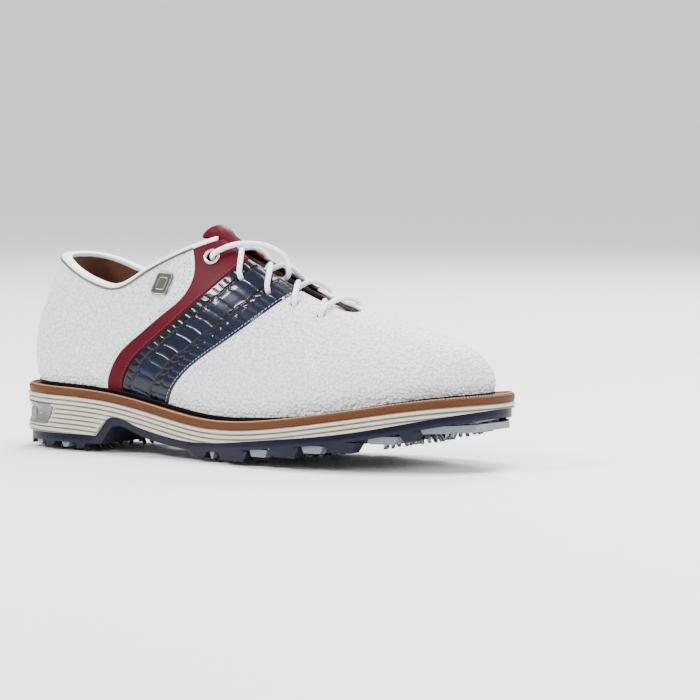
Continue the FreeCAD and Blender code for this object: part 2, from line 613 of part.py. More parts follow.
def build_upper():
    """Leather panels, binding, stiffeners, linings and sockliner."""
    throat = throat_tool()
    drills = eyelet_drills()
    cuts = [throat] + drills
    leather_in = form(LEATHER_IN)
    face = form(0)
    save("vamp", panel(face, leather_in, region(SADDLE_FRONT, None, 0), cuts))
    tops = {-1: TOPLINE_LATERAL, 1: TOPLINE_MEDIAL}
    saddle_face, trim_face, quarter_face = (form(p) for p in (PROUD_SADDLE, PROUD_TRIM, PROUD_QUARTER))
    for side, word in ((-1, "lateral"), (1, "medial")):
        top = tops[side]
        save("saddle_" + word, panel(saddle_face, leather_in,
                                     region(TRIM_FRONT, SADDLE_FRONT, side, top), cuts))
        save("trim_" + word, panel(trim_face, leather_in,
                                   region(QUARTER_FRONT, TRIM_FRONT, side, top), cuts))
        save("quarter_" + word, panel(quarter_face, leather_in,
                                      region(None, QUARTER_FRONT, side, top), []))
    stiff_out, stiff_in = form(STIFFENER[0]), form(STIFFENER[1])
    counter = side_prism([([(-170, 20), (-170, 82), (-120, 80), (-85, 62), (-62, 36), (-55, 20)],
                           False)], -80, 80).common(region(None, None, 0))
    save("heel_counter", panel(stiff_out, stiff_in, counter, []))
    puff = side_prism([([(96, 20), (104, 90), (160, 90), (160, 20)], False)], -80, 80)
    save("toe_puff", panel(stiff_out, stiff_in, puff.common(region(None, None, 0)), []))
    for side, word in ((-1, "lateral"), (1, "medial")):
        top = [(x, z - 0.3) for x, z in tops[side]]
        low = [(x, z - 22 - 0.1 * (x + 140)) for x, z in tops[side] if x < -30]
        foam = side_prism([(low, True), ([(-38, 140), (-150, 140)], False)], -80, 80)
        foam = foam.common(region(None, None, side, top)).cut(counter)
        save("collar_padding_" + word, panel(stiff_out, stiff_in, foam, [throat]))
    lining_out, lining_in = form(LINING[0]), form(LINING[1])
    lining_seam = [(-30, 126), (-34, 104), (-40, 80), (-46, 55), (-50, 16)]
    over = [side_prism([(tops[side], True), ([(10, 250), (-150, 250)], False)],
                       *SIDE_SPAN[side]) for side in (-1, 1)]
    save("vamp_lining", panel(lining_out, lining_in, region(lining_seam, None, 0), cuts + over))
    quarter_lining = [panel(lining_out, lining_in, region(None, lining_seam, side, tops[side]),
                            drills[:2]) for side in (-1, 1)]
    save("quarter_lining", largest(quarter_lining[0].fuse(quarter_lining[1]).removeSplitter()))
    rim_out, rim_in = form(PROUD_QUARTER + 0.3), form(LINING[1] - 0.4)
    rims = []
    for side in (-1, 1):
        low = [(x, z + 0.02) for x, z in tops[side]]
        high = [(x, z + BINDING_HEIGHT) for x, z in tops[side]]
        band = side_prism([(low, True), (high[::-1], True)], *SIDE_SPAN[side])
        band = band.common(Part.makeBox(200, 160, 200, V(-223, -80, 0)))
        rims.append(panel(rim_out, rim_in, band, [throat]))
    save("topline_binding", largest(rims[0].fuse(rims[1])))
    save("sockliner", largest(form(LINING[1] - 0.3).common(
        feather_band(0.02, SOCKLINER_THICK))))


# ---------------------------------------------------------------- tongue, eyelets and lace
def tongue_plan():
    """Closed plan outline of the tongue, wide at its top and narrow at its base."""
    half = spline(TONGUE_HALF)
    xs = [TONGUE_BACK + (TONGUE_BASE - TONGUE_BACK) * i / 6 for i in range(7)]
    left = [(x, throat_centre(x) - half(x)) for x in xs]
    right = [(x, throat_centre(x) + half(x)) for x in reversed(xs)]
    tip = [(TONGUE_BACK - TONGUE_CROWN, throat_centre(TONGUE_BACK))]
    curve = curve_edge([V(x, y, 40) for x, y in right[-1:] + tip + left[:1]])
    sides = [curve_edge([V(x, y, 40) for x, y in run]) for run in (left, right)]
    base = Part.makeLine(V(left[-1][0], left[-1][1], 40), V(right[0][0], right[0][1], 40))
    return Part.Face(Part.Wire([curve, sides[0], base, sides[1]])).extrude(V(0, 0, 160))


def build_tongue():
    """The tongue's two face leathers, foam and lining, and its hinge line."""
    plan = tongue_plan()
    front = Part.makeBox(200, 160, 200, V(TONGUE_SPLIT, -80, 0))
    face = plan.common(form(TONGUE_FACE[0])).cut(form(TONGUE_FACE[1]))
    save("tongue_upper", top_piece(face.cut(front)))
    save("tongue_lower", top_piece(face.common(front)))
    save("tongue_foam", top_piece(plan.common(form(TONGUE_FOAM[0])).cut(form(TONGUE_FOAM[1]))))
    save("tongue_lining", top_piece(plan.common(form(TONGUE_LINING[0])).cut(form(TONGUE_LINING[1]))))
    at = on_form(TONGUE_HINGE_X, throat_centre(TONGUE_HINGE_X), TONGUE_FOAM[0])[0] + PLACE
    print("hinge tongue at %.5f %.5f %.5f" % (at.x / 1000, at.y / 1000, at.z / 1000))


def top_piece(shape):
    """The solid that lies highest."""
    return max(shape.Solids, key=lambda s: s.BoundBox.ZMax)


def eyelet_ring(at, n):
    """Metal eyelet: a rounded flange on the face, a barrel through it and a turned foot."""
    thick = PROUD_TRIM - LINING[1]
    ring = Part.makeCylinder(RING_HOLE_R - 0.05, thick + 1.25, V(0, 0, -thick - 0.25))
    ring = ring.fuse(Part.makeCone(RING_OUTER_R, RING_OUTER_R - 1.1, 0.9, V(0, 0, 0.4)))
    ring = ring.fuse(Part.makeCylinder(RING_OUTER_R - 0.7, 0.3, V(0, 0, -thick - 0.35)))
    ring = ring.cut(Part.makeCylinder(RING_BORE_R, 30, V(0, 0, -15)))
    ring.Placement = FreeCAD.Placement(at, FreeCAD.Rotation(V(0, 0, 1), n))
    return largest(ring)


def on_side(x, z, side, offset):
    """Point of the form's side at (x, z), moved out by offset, and the normal."""
    def reach(px, pz):
        return centre(px) + side * half_at(px, pz - feather(px), side)
    step = 1.5
    yx = (reach(x + step, z) - reach(x - step, z)) / (2 * step)
    yz = (reach(x, z + step) - reach(x, z - step)) / (2 * step)
    n = V(-yx * side, side, -yz * side).normalize()
    return V(x, reach(x, z), z) + n * offset, n


def beside(x, across, offset):
    """Point of the form's top, across from the throat's centre line."""
    return on_form(x, throat_centre(x) + across, offset)[0]


def lace_strand(side):
    """Route of one half of the lace, from its top eyelet on one side down to the bottom row."""
    points = []
    rows = len(EYELET_ROWS)
    for k in range(rows):
        s = side if k % 2 == 0 else -side
        x, spacing = EYELET_ROWS[k]
        over = LACE_OVER_RING if k == 0 else LACE_OVER
        under = LACE_UNDER_RING if k == 0 else LACE_UNDER
        points += [eyelet_at(k, s, over)[0], eyelet_at(k, s, under)[0]]
        if k == rows - 1:
            points[-2:] = reversed(points[-2:])
            break
        x_next = EYELET_ROWS[k + 1][0]
        high = s > 0
        last = k == rows - 2
        t = 0.5 - 6.2 / (2 * spacing)
        points.append(beside(x + (x_next - x) * t, 6.2 * s, LACE_UNDER))
        cross = LACE_CROSS_HIGH if high else LACE_CROSS_LOW
        points.append(beside((x + x_next) / 2, 0, cross - (1.0 if last and high else 0.0)))
        far = LACE_UNDER if last else LACE_OVER + 0.3
        points.append(beside(x + (x_next - x) * (1 - t), -6.2 * s, far))
    return points


def lace_route():
    """The whole lace: tucked lateral end, both strands, the bottom bar, tucked medial end."""
    lateral_end = [beside(8.7, 12.0, LACE_UNDER - 0.35), beside(14.5, 8.5, LACE_UNDER - 0.1),
                   beside(18, 4.2, -1.6), beside(11, 3.6, 6.4), beside(0, 0.5, 6.2),
                   beside(-12, -6.5, 4.6)]
    x, spacing = EYELET_ROWS[-1]
    bar = [beside(x, -6.5, LACE_OVER), beside(x, 6.5, LACE_OVER)]
    medial_end = [on_side(-33, 108, 1, 4.0)[0], on_side(-40.5, 116, 1, 4.2)[0],
                  on_side(-43, 123.5, 1, -1.2)[0], on_side(-46, 113, 1, -7.2)[0],
                  on_side(-50, 100, 1, -6.8)[0], on_side(-57, 86, 1, -6.9)[0]]
    return lateral_end + lace_strand(-1) + bar + lace_strand(1)[::-1] + medial_end


def tube(points, radius):
    """Round tube along straight runs joined by tangent arcs, and its centre line's length."""
    edges = []
    at = points[0]
    tightest = 1e9
    for a, b, c in zip(points, points[1:], points[2:]):
        u, w = (b - a), (c - b)
        run = min(u.Length, w.Length)
        u, w = u.normalize(), w.normalize()
        turn = u.getAngle(w)
        r = LACE_BEND * run / math.tan(turn / 2)
        back = LACE_BEND * run
        start, end = b - u * back, b + w * back
        middle = b + (w - u).normalize() * (r / math.cos(turn / 2) - r)
        edges += [Part.makeLine(at, start), Part.Arc(start, middle, end).toShape()]
        at = end
        tightest = min(tightest, r)
    edges.append(Part.makeLine(at, points[-1]))
    path = Part.Wire(edges)
    section = Part.Wire([Part.makeCircle(radius, points[0], points[1] - points[0])])
    solid = path.makePipeShell([section], True, True)
    print("lace tube: length %.1f, tightest bend %.2f, volume ratio %.4f" % (
        path.Length, tightest, solid.Volume / (math.pi * radius ** 2 * path.Length)))
    return solid


def aglet(end, before):
    """Tip at one end of the lace, past its last point."""
    out = (end - before).normalize()
    return Part.makeCylinder(AGLET_R, AGLET_LENGTH, end + out * 0.02, out)


def build_lacing():
    """Eyelet rings, lace, aglets and the badge."""
    rings = [eyelet_ring(*eyelet_at(0, side, PROUD_TRIM)) for side in (-1, 1)]
    save("eyelet_rings", Part.makeCompound(rings))
    route = lace_route()
    save("lace", tube(route, LACE_R))
    save("aglets", Part.makeCompound([aglet(route[0], route[1]), aglet(route[-1], route[-2])]))
    at, n = on_side(BADGE_AT[0], BADGE_AT[1], -1, PROUD_QUARTER + 0.05)
    wide, tall, thick = BADGE_SIZE
    corners = [V(x * wide / 2 + y * BADGE_LEAN, y * tall / 2, 0)
               for x, y in ((-1, -1), (1, -1), (1, 1), (-1, 1), (-1, -1))]
    plate = Part.Face(Part.makePolygon(corners)).extrude(V(0, 0, thick))
    upright = [e for e in plate.Edges if abs(e.BoundBox.ZLength - thick) < 1e-6]
    plate = plate.makeFillet(BADGE_CORNER, upright)
    along = V(1, 0, 0)
    along = (along - n * along.dot(n)).normalize()
    plate.Placement = FreeCAD.Placement(at, FreeCAD.Rotation(along, n.cross(along), n, "ZXY"))
    save("badge", plate)


os.makedirs("parts", exist_ok=True)
build_sole()
build_upper()
build_tongue()
build_lacing()
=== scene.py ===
import json
import math

import bmesh
import bpy
import numpy as np
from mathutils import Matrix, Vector
from mathutils.bvhtree import BVHTree


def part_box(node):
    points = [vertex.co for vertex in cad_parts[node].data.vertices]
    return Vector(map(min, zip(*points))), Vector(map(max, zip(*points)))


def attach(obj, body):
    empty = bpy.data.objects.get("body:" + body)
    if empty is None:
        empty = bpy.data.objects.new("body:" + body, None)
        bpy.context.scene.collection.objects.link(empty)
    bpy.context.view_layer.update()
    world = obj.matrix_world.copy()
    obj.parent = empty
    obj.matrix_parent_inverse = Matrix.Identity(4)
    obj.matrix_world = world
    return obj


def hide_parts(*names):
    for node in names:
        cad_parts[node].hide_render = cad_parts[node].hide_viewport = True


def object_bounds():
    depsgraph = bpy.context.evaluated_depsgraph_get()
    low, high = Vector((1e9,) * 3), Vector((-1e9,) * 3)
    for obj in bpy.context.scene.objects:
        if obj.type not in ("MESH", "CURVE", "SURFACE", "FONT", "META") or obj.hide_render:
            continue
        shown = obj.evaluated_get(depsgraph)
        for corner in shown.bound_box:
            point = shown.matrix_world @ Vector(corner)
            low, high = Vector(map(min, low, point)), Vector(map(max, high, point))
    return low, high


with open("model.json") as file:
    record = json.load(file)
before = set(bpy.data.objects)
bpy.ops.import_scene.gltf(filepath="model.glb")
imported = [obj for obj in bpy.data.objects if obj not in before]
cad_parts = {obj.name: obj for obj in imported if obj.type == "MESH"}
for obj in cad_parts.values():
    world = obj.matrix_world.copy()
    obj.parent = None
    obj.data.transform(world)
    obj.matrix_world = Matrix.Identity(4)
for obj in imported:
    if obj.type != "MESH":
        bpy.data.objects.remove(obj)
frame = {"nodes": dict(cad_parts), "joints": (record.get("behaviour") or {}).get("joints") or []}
cad_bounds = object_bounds()
MM = 0.001
UP = np.array([0.0, 0, 1])
WELD = 2e-6  # Mesh points nearer to each other than this are one point.
TINY_AREA = 1e-11  # A smaller triangle's normal isn't trusted.
SMALLEST_HOLE = 4 * MM  # A shorter boundary loop isn't an eyelet hole.


# ---------------------------------------------------------------- meshes read from the frame
def merged(node):
    """Points and triangles of a CAD node, with the points that coincide merged."""
    mesh = frame["nodes"][node].data
    co = np.empty(len(mesh.vertices) * 3)
    mesh.vertices.foreach_get("co", co)
    co = co.reshape(-1, 3)
    mesh.calc_loop_triangles()
    tri = np.empty(len(mesh.loop_triangles) * 3, np.int64)
    mesh.loop_triangles.foreach_get("vertices", tri)
    keys = np.round(co / WELD).astype(np.int64)
    _, first, back = np.unique(keys, axis=0, return_index=True, return_inverse=True)
    tri = back.reshape(-1)[tri].reshape(-1, 3)
    whole = (tri[:, 0] != tri[:, 1]) & (tri[:, 1] != tri[:, 2]) & (tri[:, 0] != tri[:, 2])
    return co[first], tri[whole]


def unit(v):
    """Vectors scaled to length one."""
    return v / np.maximum(np.linalg.norm(v, axis=-1, keepdims=True), 1e-12)


def face_normals(co, tri):
    """Normals of triangles, as long as twice their areas."""
    return np.cross(co[tri[:, 1]] - co[tri[:, 0]], co[tri[:, 2]] - co[tri[:, 0]])


def edges_of(t):
    """The three directed edges of a triangle."""
    return (t[0], t[1]), (t[1], t[2]), (t[2], t[0])


def smooth_region(co, tri, seed_score, bend=32.0):
    """The triangles that join smoothly onto the one with the highest score."""
    normal = face_normals(co, tri)
    area = np.linalg.norm(normal, axis=1)
    normal = unit(normal)
    edges = {}
    for i, t in enumerate(tri):
        for e in edges_of(t):
            edges.setdefault((min(e), max(e)), []).append(i)
    beside = [[] for _ in tri]
    limit = math.cos(math.radians(bend))
    for pair in edges.values():
        if len(pair) == 2:
            s, t = pair
            if min(area[s], area[t]) < TINY_AREA or normal[s] @ normal[t] > limit:
                beside[s].append(t)
                beside[t].append(s)
    seed = int(np.argmax(seed_score(co[tri].mean(axis=1), normal, area)))
    inside = {seed}
    queue = [seed]
    while queue:
        for t in beside[queue.pop()]:
            if t not in inside:
                inside.add(t)
                queue.append(t)
    return tri[sorted(inside)]


def loops_of(co, tri):
    """Boundary loops of a patch of triangles, the longest first."""
    follow = {}
    seen = {e for t in tri for e in edges_of(t)}
    for a, b in seen:
        if (b, a) not in seen:
            follow.setdefault(a, []).append(b)
    loops = []
    while follow:
        start = next(iter(follow))
        loop, at = [start], start
        while at in follow:
            at_next = follow[at].pop()
            if not follow[at]:
                del follow[at]
            at = at_next
            if at == start:
                break
            loop.append(at)
        loops.append(co[loop])
    return sorted(loops, key=lambda l: -run_length(l)[-1])


def tree_over(co, tri):
    """Search tree over triangles."""
    return BVHTree.FromPolygons([Vector(p) for p in co], [list(map(int, t)) for t in tri])


def run_length(points):
    """Distance along a polyline at each of its points."""
    step = np.linalg.norm(np.diff(points, axis=0), axis=1)
    return np.concatenate([[0], np.cumsum(step)])


def read(points, s, at):
    """Places on a polyline at distances along it, s being the distances of its points."""
    return np.stack([np.interp(at, s, points[:, k]) for k in range(3)], axis=1)


def resample(points, at):
    """Points at shares 0 to 1 of a polyline's length."""
    s = run_length(points)
    return read(points, s, np.asarray(at) * s[-1])


def resample_loop(points, count):
    """Evenly spaced points round a closed polyline."""
    return resample(np.concatenate([points, points[:1]]), np.linspace(0, 1, count + 1)[:-1])


def relaxed(values, rounds, closed=False):
    """Values along a line, with small steps smoothed away; an open line keeps its ends."""
    v = np.array(values)
    part = slice(None) if closed else slice(1, -1)
    for _ in range(rounds):
        v[part] = (v * 0.5 + (np.roll(v, 1, 0) + np.roll(v, -1, 0)) * 0.25)[part]
    return v


def filled(values):
    """Values round a loop, with the missing ones read from their neighbours."""
    v, at = np.array(values), np.arange(len(values))
    good = ~np.isnan(v)
    return np.interp(at, at[good], v[good], period=len(v))


def evened(points, spacing=0.7 * MM, rounds=2):
    """An open polyline at even spacing, smoothed, with its ends kept."""
    n = max(8, int(run_length(points)[-1] / spacing))
    return relaxed(resample(points, np.linspace(0, 1, n + 1)), rounds)


class Patch:
    """The outer face of a CAD panel, its boundary cut at four corners, and a smooth grid over it."""

    def __init__(self, node_name, seed_score, corners):
        co, tri = merged(node_name)
        face = smooth_region(co, tri, seed_score)
        self.tree = tree_over(co, face)
        loop, *others = loops_of(co, face)
        self.holes = [l for l in others if run_length(l)[-1] > SMALLEST_HOLE]
        picks = [int(np.argmin(score(loop))) for score in corners]
        self.sides = []
        for a, b in zip(picks, picks[1:] + picks[:1]):
            run = loop[a:b + 1] if a < b else np.concatenate([loop[a:], loop[:b + 1]])
            back = loop[b:a + 1] if b < a else np.concatenate([loop[b:], loop[:a + 1]])
            clear = all(not (a < p < b if a < b else p > a or p < b) for p in picks)
            self.sides.append(evened(run if clear else back[::-1]))

    def onto(self, points):
        """Points moved to the nearest place on the face."""
        flat = points.reshape(-1, 3)
        out = np.array([self.tree.find_nearest(Vector(p))[0] for p in flat])
        return out.reshape(points.shape)

    def grid(self, us, vs, coarse=(29, 41), rounds=60):
        """Grid of points over the face; u runs along the first side and v along the second."""
        base = coons(self.sides, np.linspace(0, 1, coarse[0]), np.linspace(0, 1, coarse[1]))
        for _ in range(rounds):
            inner = (base[2:, 1:-1] + base[:-2, 1:-1] + base[1:-1, 2:] + base[1:-1, :-2]) / 4
            base[1:-1, 1:-1] = self.onto(base[1:-1, 1:-1] * 0.4 + inner * 0.6)
        fine = spread(base, us, vs)
        miss = coons(self.sides, us, vs) - fine
        fine += from_edges(us, vs, miss[:, 0], miss[-1], miss[:, -1], miss[0])
        fine[1:-1, 1:-1] = self.onto(fine[1:-1, 1:-1])
        return fine


def from_edges(us, vs, a, b, c, d):
    """Grid blended from its four edges: a and c run along u, d and b along v."""
    u, v = us[:, None, None], vs[None, :, None]
    corners = (1 - u) * (1 - v) * a[0] + u * (1 - v) * a[-1] + (1 - u) * v * c[0] + u * v * c[-1]
    return (1 - v) * a[:, None] + v * c[:, None] + (1 - u) * d[None] + u * b[None] - corners


def coons(sides, us, vs):
    """Grid between four boundary runs that follow each other round."""
    return from_edges(us, vs, resample(sides[0], us), resample(sides[1], vs),
                      resample(sides[2][::-1], us), resample(sides[3][::-1], vs))


def cubic_weights(at, count):
    """Indices and weights of a cubic that interpolates evenly spaced samples."""
    f = np.clip(np.asarray(at) * (count - 1), 0, count - 1 - 1e-9)
    i = f.astype(int)
    t = f - i
    index = np.clip(np.stack([i - 1, i, i + 1, i + 2], 1), 0, count - 1)
    w = np.stack([-t + 2 * t ** 2 - t ** 3, 2 - 5 * t ** 2 + 3 * t ** 3,
                  t + 4 * t ** 2 - 3 * t ** 3, -t ** 2 + t ** 3], 1) / 2
    return index, w


def spread(base, us, vs):
    """A coarse grid read smoothly at finer shares."""
    iu, wu = cubic_weights(us, base.shape[0])
    iv, wv = cubic_weights(vs, base.shape[1])
    rows = (base[iu] * wu[:, :, None, None]).sum(1)
    return (rows[:, iv] * wv[None, :, :, None]).sum(2)


def grid_normals(g, outward):
    """Unit normals of a grid, all on the side that outward points to."""
    n = unit(np.cross(np.gradient(g, axis=0), np.gradient(g, axis=1)))
    mid = n[n.shape[0] // 2, n.shape[1] // 2]
    return n if mid @ outward > 0 else -n


# ---------------------------------------------------------------- mesh building
def placed(name, mesh, looks, body):
    """An object for a mesh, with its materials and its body."""
    mesh.name = name
    mesh.materials.clear()
    for look in looks:
        mesh.materials.append(MAT[look])
    mesh.polygons.foreach_set("use_smooth", [True] * len(mesh.polygons))
    obj = bpy.data.objects.new(name, mesh)
    bpy.context.scene.collection.objects.link(obj)
    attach(obj, body)
    return obj


def mesh_object(name, verts, faces, looks, body="shoe", face_slots=None):
    """A mesh piece with its normals outward."""
    mesh = bpy.data.meshes.new(name)
    mesh.from_pydata([tuple(v) for v in verts], [], [tuple(map(int, f)) for f in faces])
    obj = placed(name, mesh, looks, body)
    if face_slots is not None:
        mesh.polygons.foreach_set("material_index", np.asarray(face_slots, np.int32))
    mesh.validate()
    mesh.update()
    bm = bmesh.new()
    bm.from_mesh(mesh)
    bmesh.ops.recalc_face_normals(bm, faces=bm.faces)
    bm.to_mesh(mesh)
    bm.free()
    return obj


def set_tile(obj, values):
    """The mesh's "tile" values, which the materials read as tone; on the welt and midsole edges this tone
    sets painted shade in the grooves.
    """
    made = obj.data.attributes.new("tile", "FLOAT", "POINT")
    made.data.foreach_set("value", np.asarray(values, np.float32))


def shares(length, spacing, edge):
    """Shares 0 to 1 along a run, given in mm, closer together at both ends over the rolled edge."""
    length, spacing, edge = length * MM, spacing * MM, edge * MM
    e = np.array([0, 0.12, 0.35, 0.65, 1.0]) * edge / length
    n = max(4, int((length - 2 * edge) / spacing))
    return np.concatenate([e[:-1], np.linspace(e[-1], 1 - e[-1], n + 1), 1 - e[:-1][::-1]])


def edge_distance(g):
    """Distance of each grid point from each of the four sides."""
    du = np.concatenate([np.zeros((1, g.shape[1])),
                         np.cumsum(np.linalg.norm(np.diff(g, axis=0), axis=2), axis=0)])
    dv = np.concatenate([np.zeros((g.shape[0], 1)),
                         np.cumsum(np.linalg.norm(np.diff(g, axis=1), axis=2), axis=1)], axis=1)
    return du, du[-1:] - du, dv, dv[:, -1:] - dv


def grid_faces(nu, nv):
    """Quads of a grid of points stored row by row."""
    i = np.arange(nu - 1)[:, None] * nv + np.arange(nv - 1)[None]
    return np.stack([i, i + nv, i + nv + 1, i + 1], 2).reshape(-1, 4)


def tube_faces(rings, across, caps=False, closed=False):
    """Quads of a tube of points stored ring by ring, capped at its ends or joined up."""
    faces = [(i * across + j, (i + 1) % rings * across + j,
              (i + 1) % rings * across + (j + 1) % across, i * across + (j + 1) % across)
             for i in range(rings - (not closed)) for j in range(across)]
    if caps:
        faces += [range(across), range(rings * across - 1, (rings - 1) * across - 1, -1)]
    return faces


def join(parts):
    """Points and faces of several meshes as one."""
    verts, faces, count = [], [], 0
    for v, f in parts:
        verts.append(v)
        faces += [[i + count for i in face] for face in f]
        count += len(v)
    return np.concatenate(verts), faces


def shell(name, node_name, slot, g, n, thick, roll, looks, holes=(), raise_by=0, tone=None):
    """Closed panel over a grid, with edges rolled in mm and round holes; raise_by adds relief."""
    thick, roll, rim_slot = thick * MM, roll * MM, len(looks) - 1
    near = np.minimum.reduce(edge_distance(g)).reshape(-1)
    quads = grid_faces(*g.shape[:2])
    g, n = g.reshape(-1, 3).copy(), n.reshape(-1, 3)
    gone = np.zeros(len(g), bool)
    clear = near.copy()
    for at, axis, radius in holes:
        off = g - at
        flat = off - (off @ axis)[:, None] * axis
        r = np.linalg.norm(flat, axis=1)
        close = np.abs(off @ axis) < 5 * MM
        inside = close & (r < radius)
        gone |= inside
        rim = np.zeros(len(g), bool)
        rim[quads[inside[quads].any(1)].ravel()] = True
        rim &= ~inside
        g[rim] -= flat[rim] * (1 - radius / r[rim])[:, None]
        clear = np.where(close, np.minimum(clear, np.where(rim, 0, np.maximum(r - radius, 0))), clear)
    short = np.clip(roll - clear, 0, roll)
    drop = roll - np.sqrt(roll ** 2 - short ** 2)
    top = g + n * (np.reshape(raise_by, -1) - drop)[:, None]
    low = g - n * thick
    slots = np.where((near[quads].min(1) < roll * 0.5) & (near[quads].max(1) < roll * 1.2), rim_slot, 0)
    keep = ~gone[quads].any(1)
    quads, slots = quads[keep], slots[keep]
    count = len(g)
    edges = np.concatenate([quads[:, [i, (i + 1) % 4]] for i in range(4)])
    code = edges[:, 0] * count + edges[:, 1]
    back = edges[:, 1] * count + edges[:, 0]
    open_edges = edges[~np.isin(code, back)]
    side = np.concatenate([open_edges[:, ::-1], open_edges + count], 1)
    faces = np.concatenate([quads, quads[:, ::-1] + count, side])
    slots = np.concatenate([slots, slots * 0, np.full(len(side), rim_slot)])
    used = np.unique(faces)
    number = np.zeros(2 * count, np.int64)
    number[used] = np.arange(len(used))
    obj = mesh_object(name, np.concatenate([top, low])[used], number[faces], looks, face_slots=slots)
    if tone is not None:
        set_tile(obj, np.concatenate([tone.reshape(-1), tone.reshape(-1) * 0])[used])
    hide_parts(node_name)
    return obj


def inset_line(g, n, side, distance, trim=(0.0, 0.0)):
    """Line over a grid at a distance in from one side (u0, u1, v0 or v1), with its normals."""
    if side[0] == "v":
        g, n = g.transpose(1, 0, 2), n.transpose(1, 0, 2)
    if side[1] == "1":
        g, n = g[::-1], n[::-1]
    du = edge_distance(g)[0]
    line, normals = [], []
    for j in range(g.shape[1]):
        line.append([np.interp(distance, du[:, j], g[:, j, k]) for k in range(3)])
        normals.append([np.interp(distance, du[:, j], n[:, j, k]) for k in range(3)])
    line, normals = np.array(line), unit(np.array(normals))
    s = run_length(line)
    keep = (s >= trim[0]) & (s <= s[-1] - trim[1])
    return line[keep], normals[keep]


def along(line, normals, pitch):
    """Places at an even pitch along a line: point, direction and normal."""
    s = run_length(line)
    at = np.arange(pitch / 2, s[-1], pitch)
    step = 0.2 * MM
    direction = unit(read(line, s, at + step) - read(line, s, at - step))
    return read(line, s, at), direction, unit(read(normals, s, at))


def bead(long, wide, high, rings=7, sides=8):
    """Points and faces of one stitch: a rounded bead along its own x."""
    verts, faces = [], []
    for i in range(1, rings - 1):
        a = math.pi * i / (rings - 1)
        for j in range(sides):
            b = 2 * math.pi * j / sides
            r = math.sin(a) ** 0.6
            verts.append((-math.cos(a) * long / 2, math.cos(b) * r * wide / 2,
                          math.sin(b) * r * high / 2))
    verts += [(-long / 2, 0, 0), (long / 2, 0, 0)]
    last = rings - 3
    for i in range(last):
        for j in range(sides):
            k = (j + 1) % sides
            faces.append((i * sides + j, i * sides + k, (i + 1) * sides + k, (i + 1) * sides + j))
    for j in range(sides):
        k = (j + 1) % sides
        faces.append((len(verts) - 2, k, j))
        faces.append((len(verts) - 1, last * sides + j, last * sides + k))
    return np.array(verts), faces


def beads(name, rows, size, look, sink=0.0, slant=0.0):
    """One piece of many stitches, size in mm, along rows of (line, normals, pitch)."""
    base, base_faces = bead(*(v * MM for v in size))
    stitches = []
    for line, normals, pitch in rows:
        for p, d, n in zip(*along(line, normals, pitch)):
            d = unit(d * math.cos(slant) + np.cross(n, d) * math.sin(slant))
            stitches.append((p - n * sink + base @ np.stack([d, np.cross(n, d), n]), base_faces))
    verts, faces = join(stitches)
    mesh = bpy.data.meshes.new(name)
    mesh.from_pydata(verts.tolist(), [], faces)
    return placed(name, mesh, [look], "shoe")


def swept(name, centres, frames, section, look, body="shoe", closed=False):
    """Tube: section points (a, b) at each centre along its two frame directions."""
    verts = np.concatenate([c + s[:, :1] * a + s[:, 1:] * b
                            for c, (a, b), s in zip(centres, frames, section)])
    faces = tube_faces(len(centres), len(section[0]), not closed, closed)
    return mesh_object(name, verts, faces, [look], body)


def frames_along(line, up=None):
    """Two directions across a line at each of its points, turning as little as they can."""
    d = unit(np.gradient(line, axis=0))
    side = np.cross(d[0], [0.3, 0.2, 0.93])
    out = []
    for i, t in enumerate(d):
        if up is not None:
            side = np.cross(t, up[i])
        side = unit(side - t * (side @ t))
        out.append((side, np.cross(side, t)))
    return out


def round_section(radius, count=10):
    """Points of a round section."""
    a = np.linspace(0, 2 * math.pi, count, endpoint=False)
    return np.stack([np.cos(a) * radius, np.sin(a) * radius], 1)


def ring(name, points, normal, radius, look):
    """A closed round bead that lies on a face with one normal."""
    d = unit(np.roll(points, -1, 0) - np.roll(points, 1, 0))
    return swept(name, points, [(a, normal) for a in unit(np.cross(normal, d))],
                 [round_section(radius)] * len(points), look, closed=True)


def softened(name, node_name, look, voxel, rounds, body="shoe"):
    """A copy of a CAD node, which it replaces, remeshed at a voxel size in mm and smoothed."""
    co, tri = merged(node_name)
    mesh = bpy.data.meshes.new(name)
    mesh.from_pydata(co.tolist(), [], tri.tolist())
    source = bpy.data.objects.new(name, mesh)
    bpy.context.scene.collection.objects.link(source)
    remesh = source.modifiers.new("remesh", "REMESH")
    remesh.mode = "VOXEL"
    remesh.voxel_size = voxel * MM
    smooth = source.modifiers.new("smooth", "SMOOTH")
    smooth.iterations = rounds
    smooth.factor = 0.5
    bpy.context.view_layer.update()
    graph = bpy.context.evaluated_depsgraph_get()
    made = bpy.data.meshes.new_from_object(source.evaluated_get(graph))
    bpy.data.objects.remove(source)
    bpy.data.meshes.remove(mesh)
    obj = placed(name, made, [look], body)
    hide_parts(node_name)
    return obj


def lathe(name, profile, at, axis, look, slot, count=48):
    """Closed turned piece: (radius, height) profile round an axis through a point."""
    axis = unit(np.array(axis))
    a = unit(np.cross(axis, [0.31, 0.95, 0.05]))
    b = np.cross(axis, a)
    verts = []
    for i in range(count):
        t = 2 * math.pi * i / count
        verts += [at + (a * math.cos(t) + b * math.sin(t)) * r + axis * h for r, h in profile]
    return mesh_object(name, verts, tube_faces(count, len(profile), closed=True), [look])


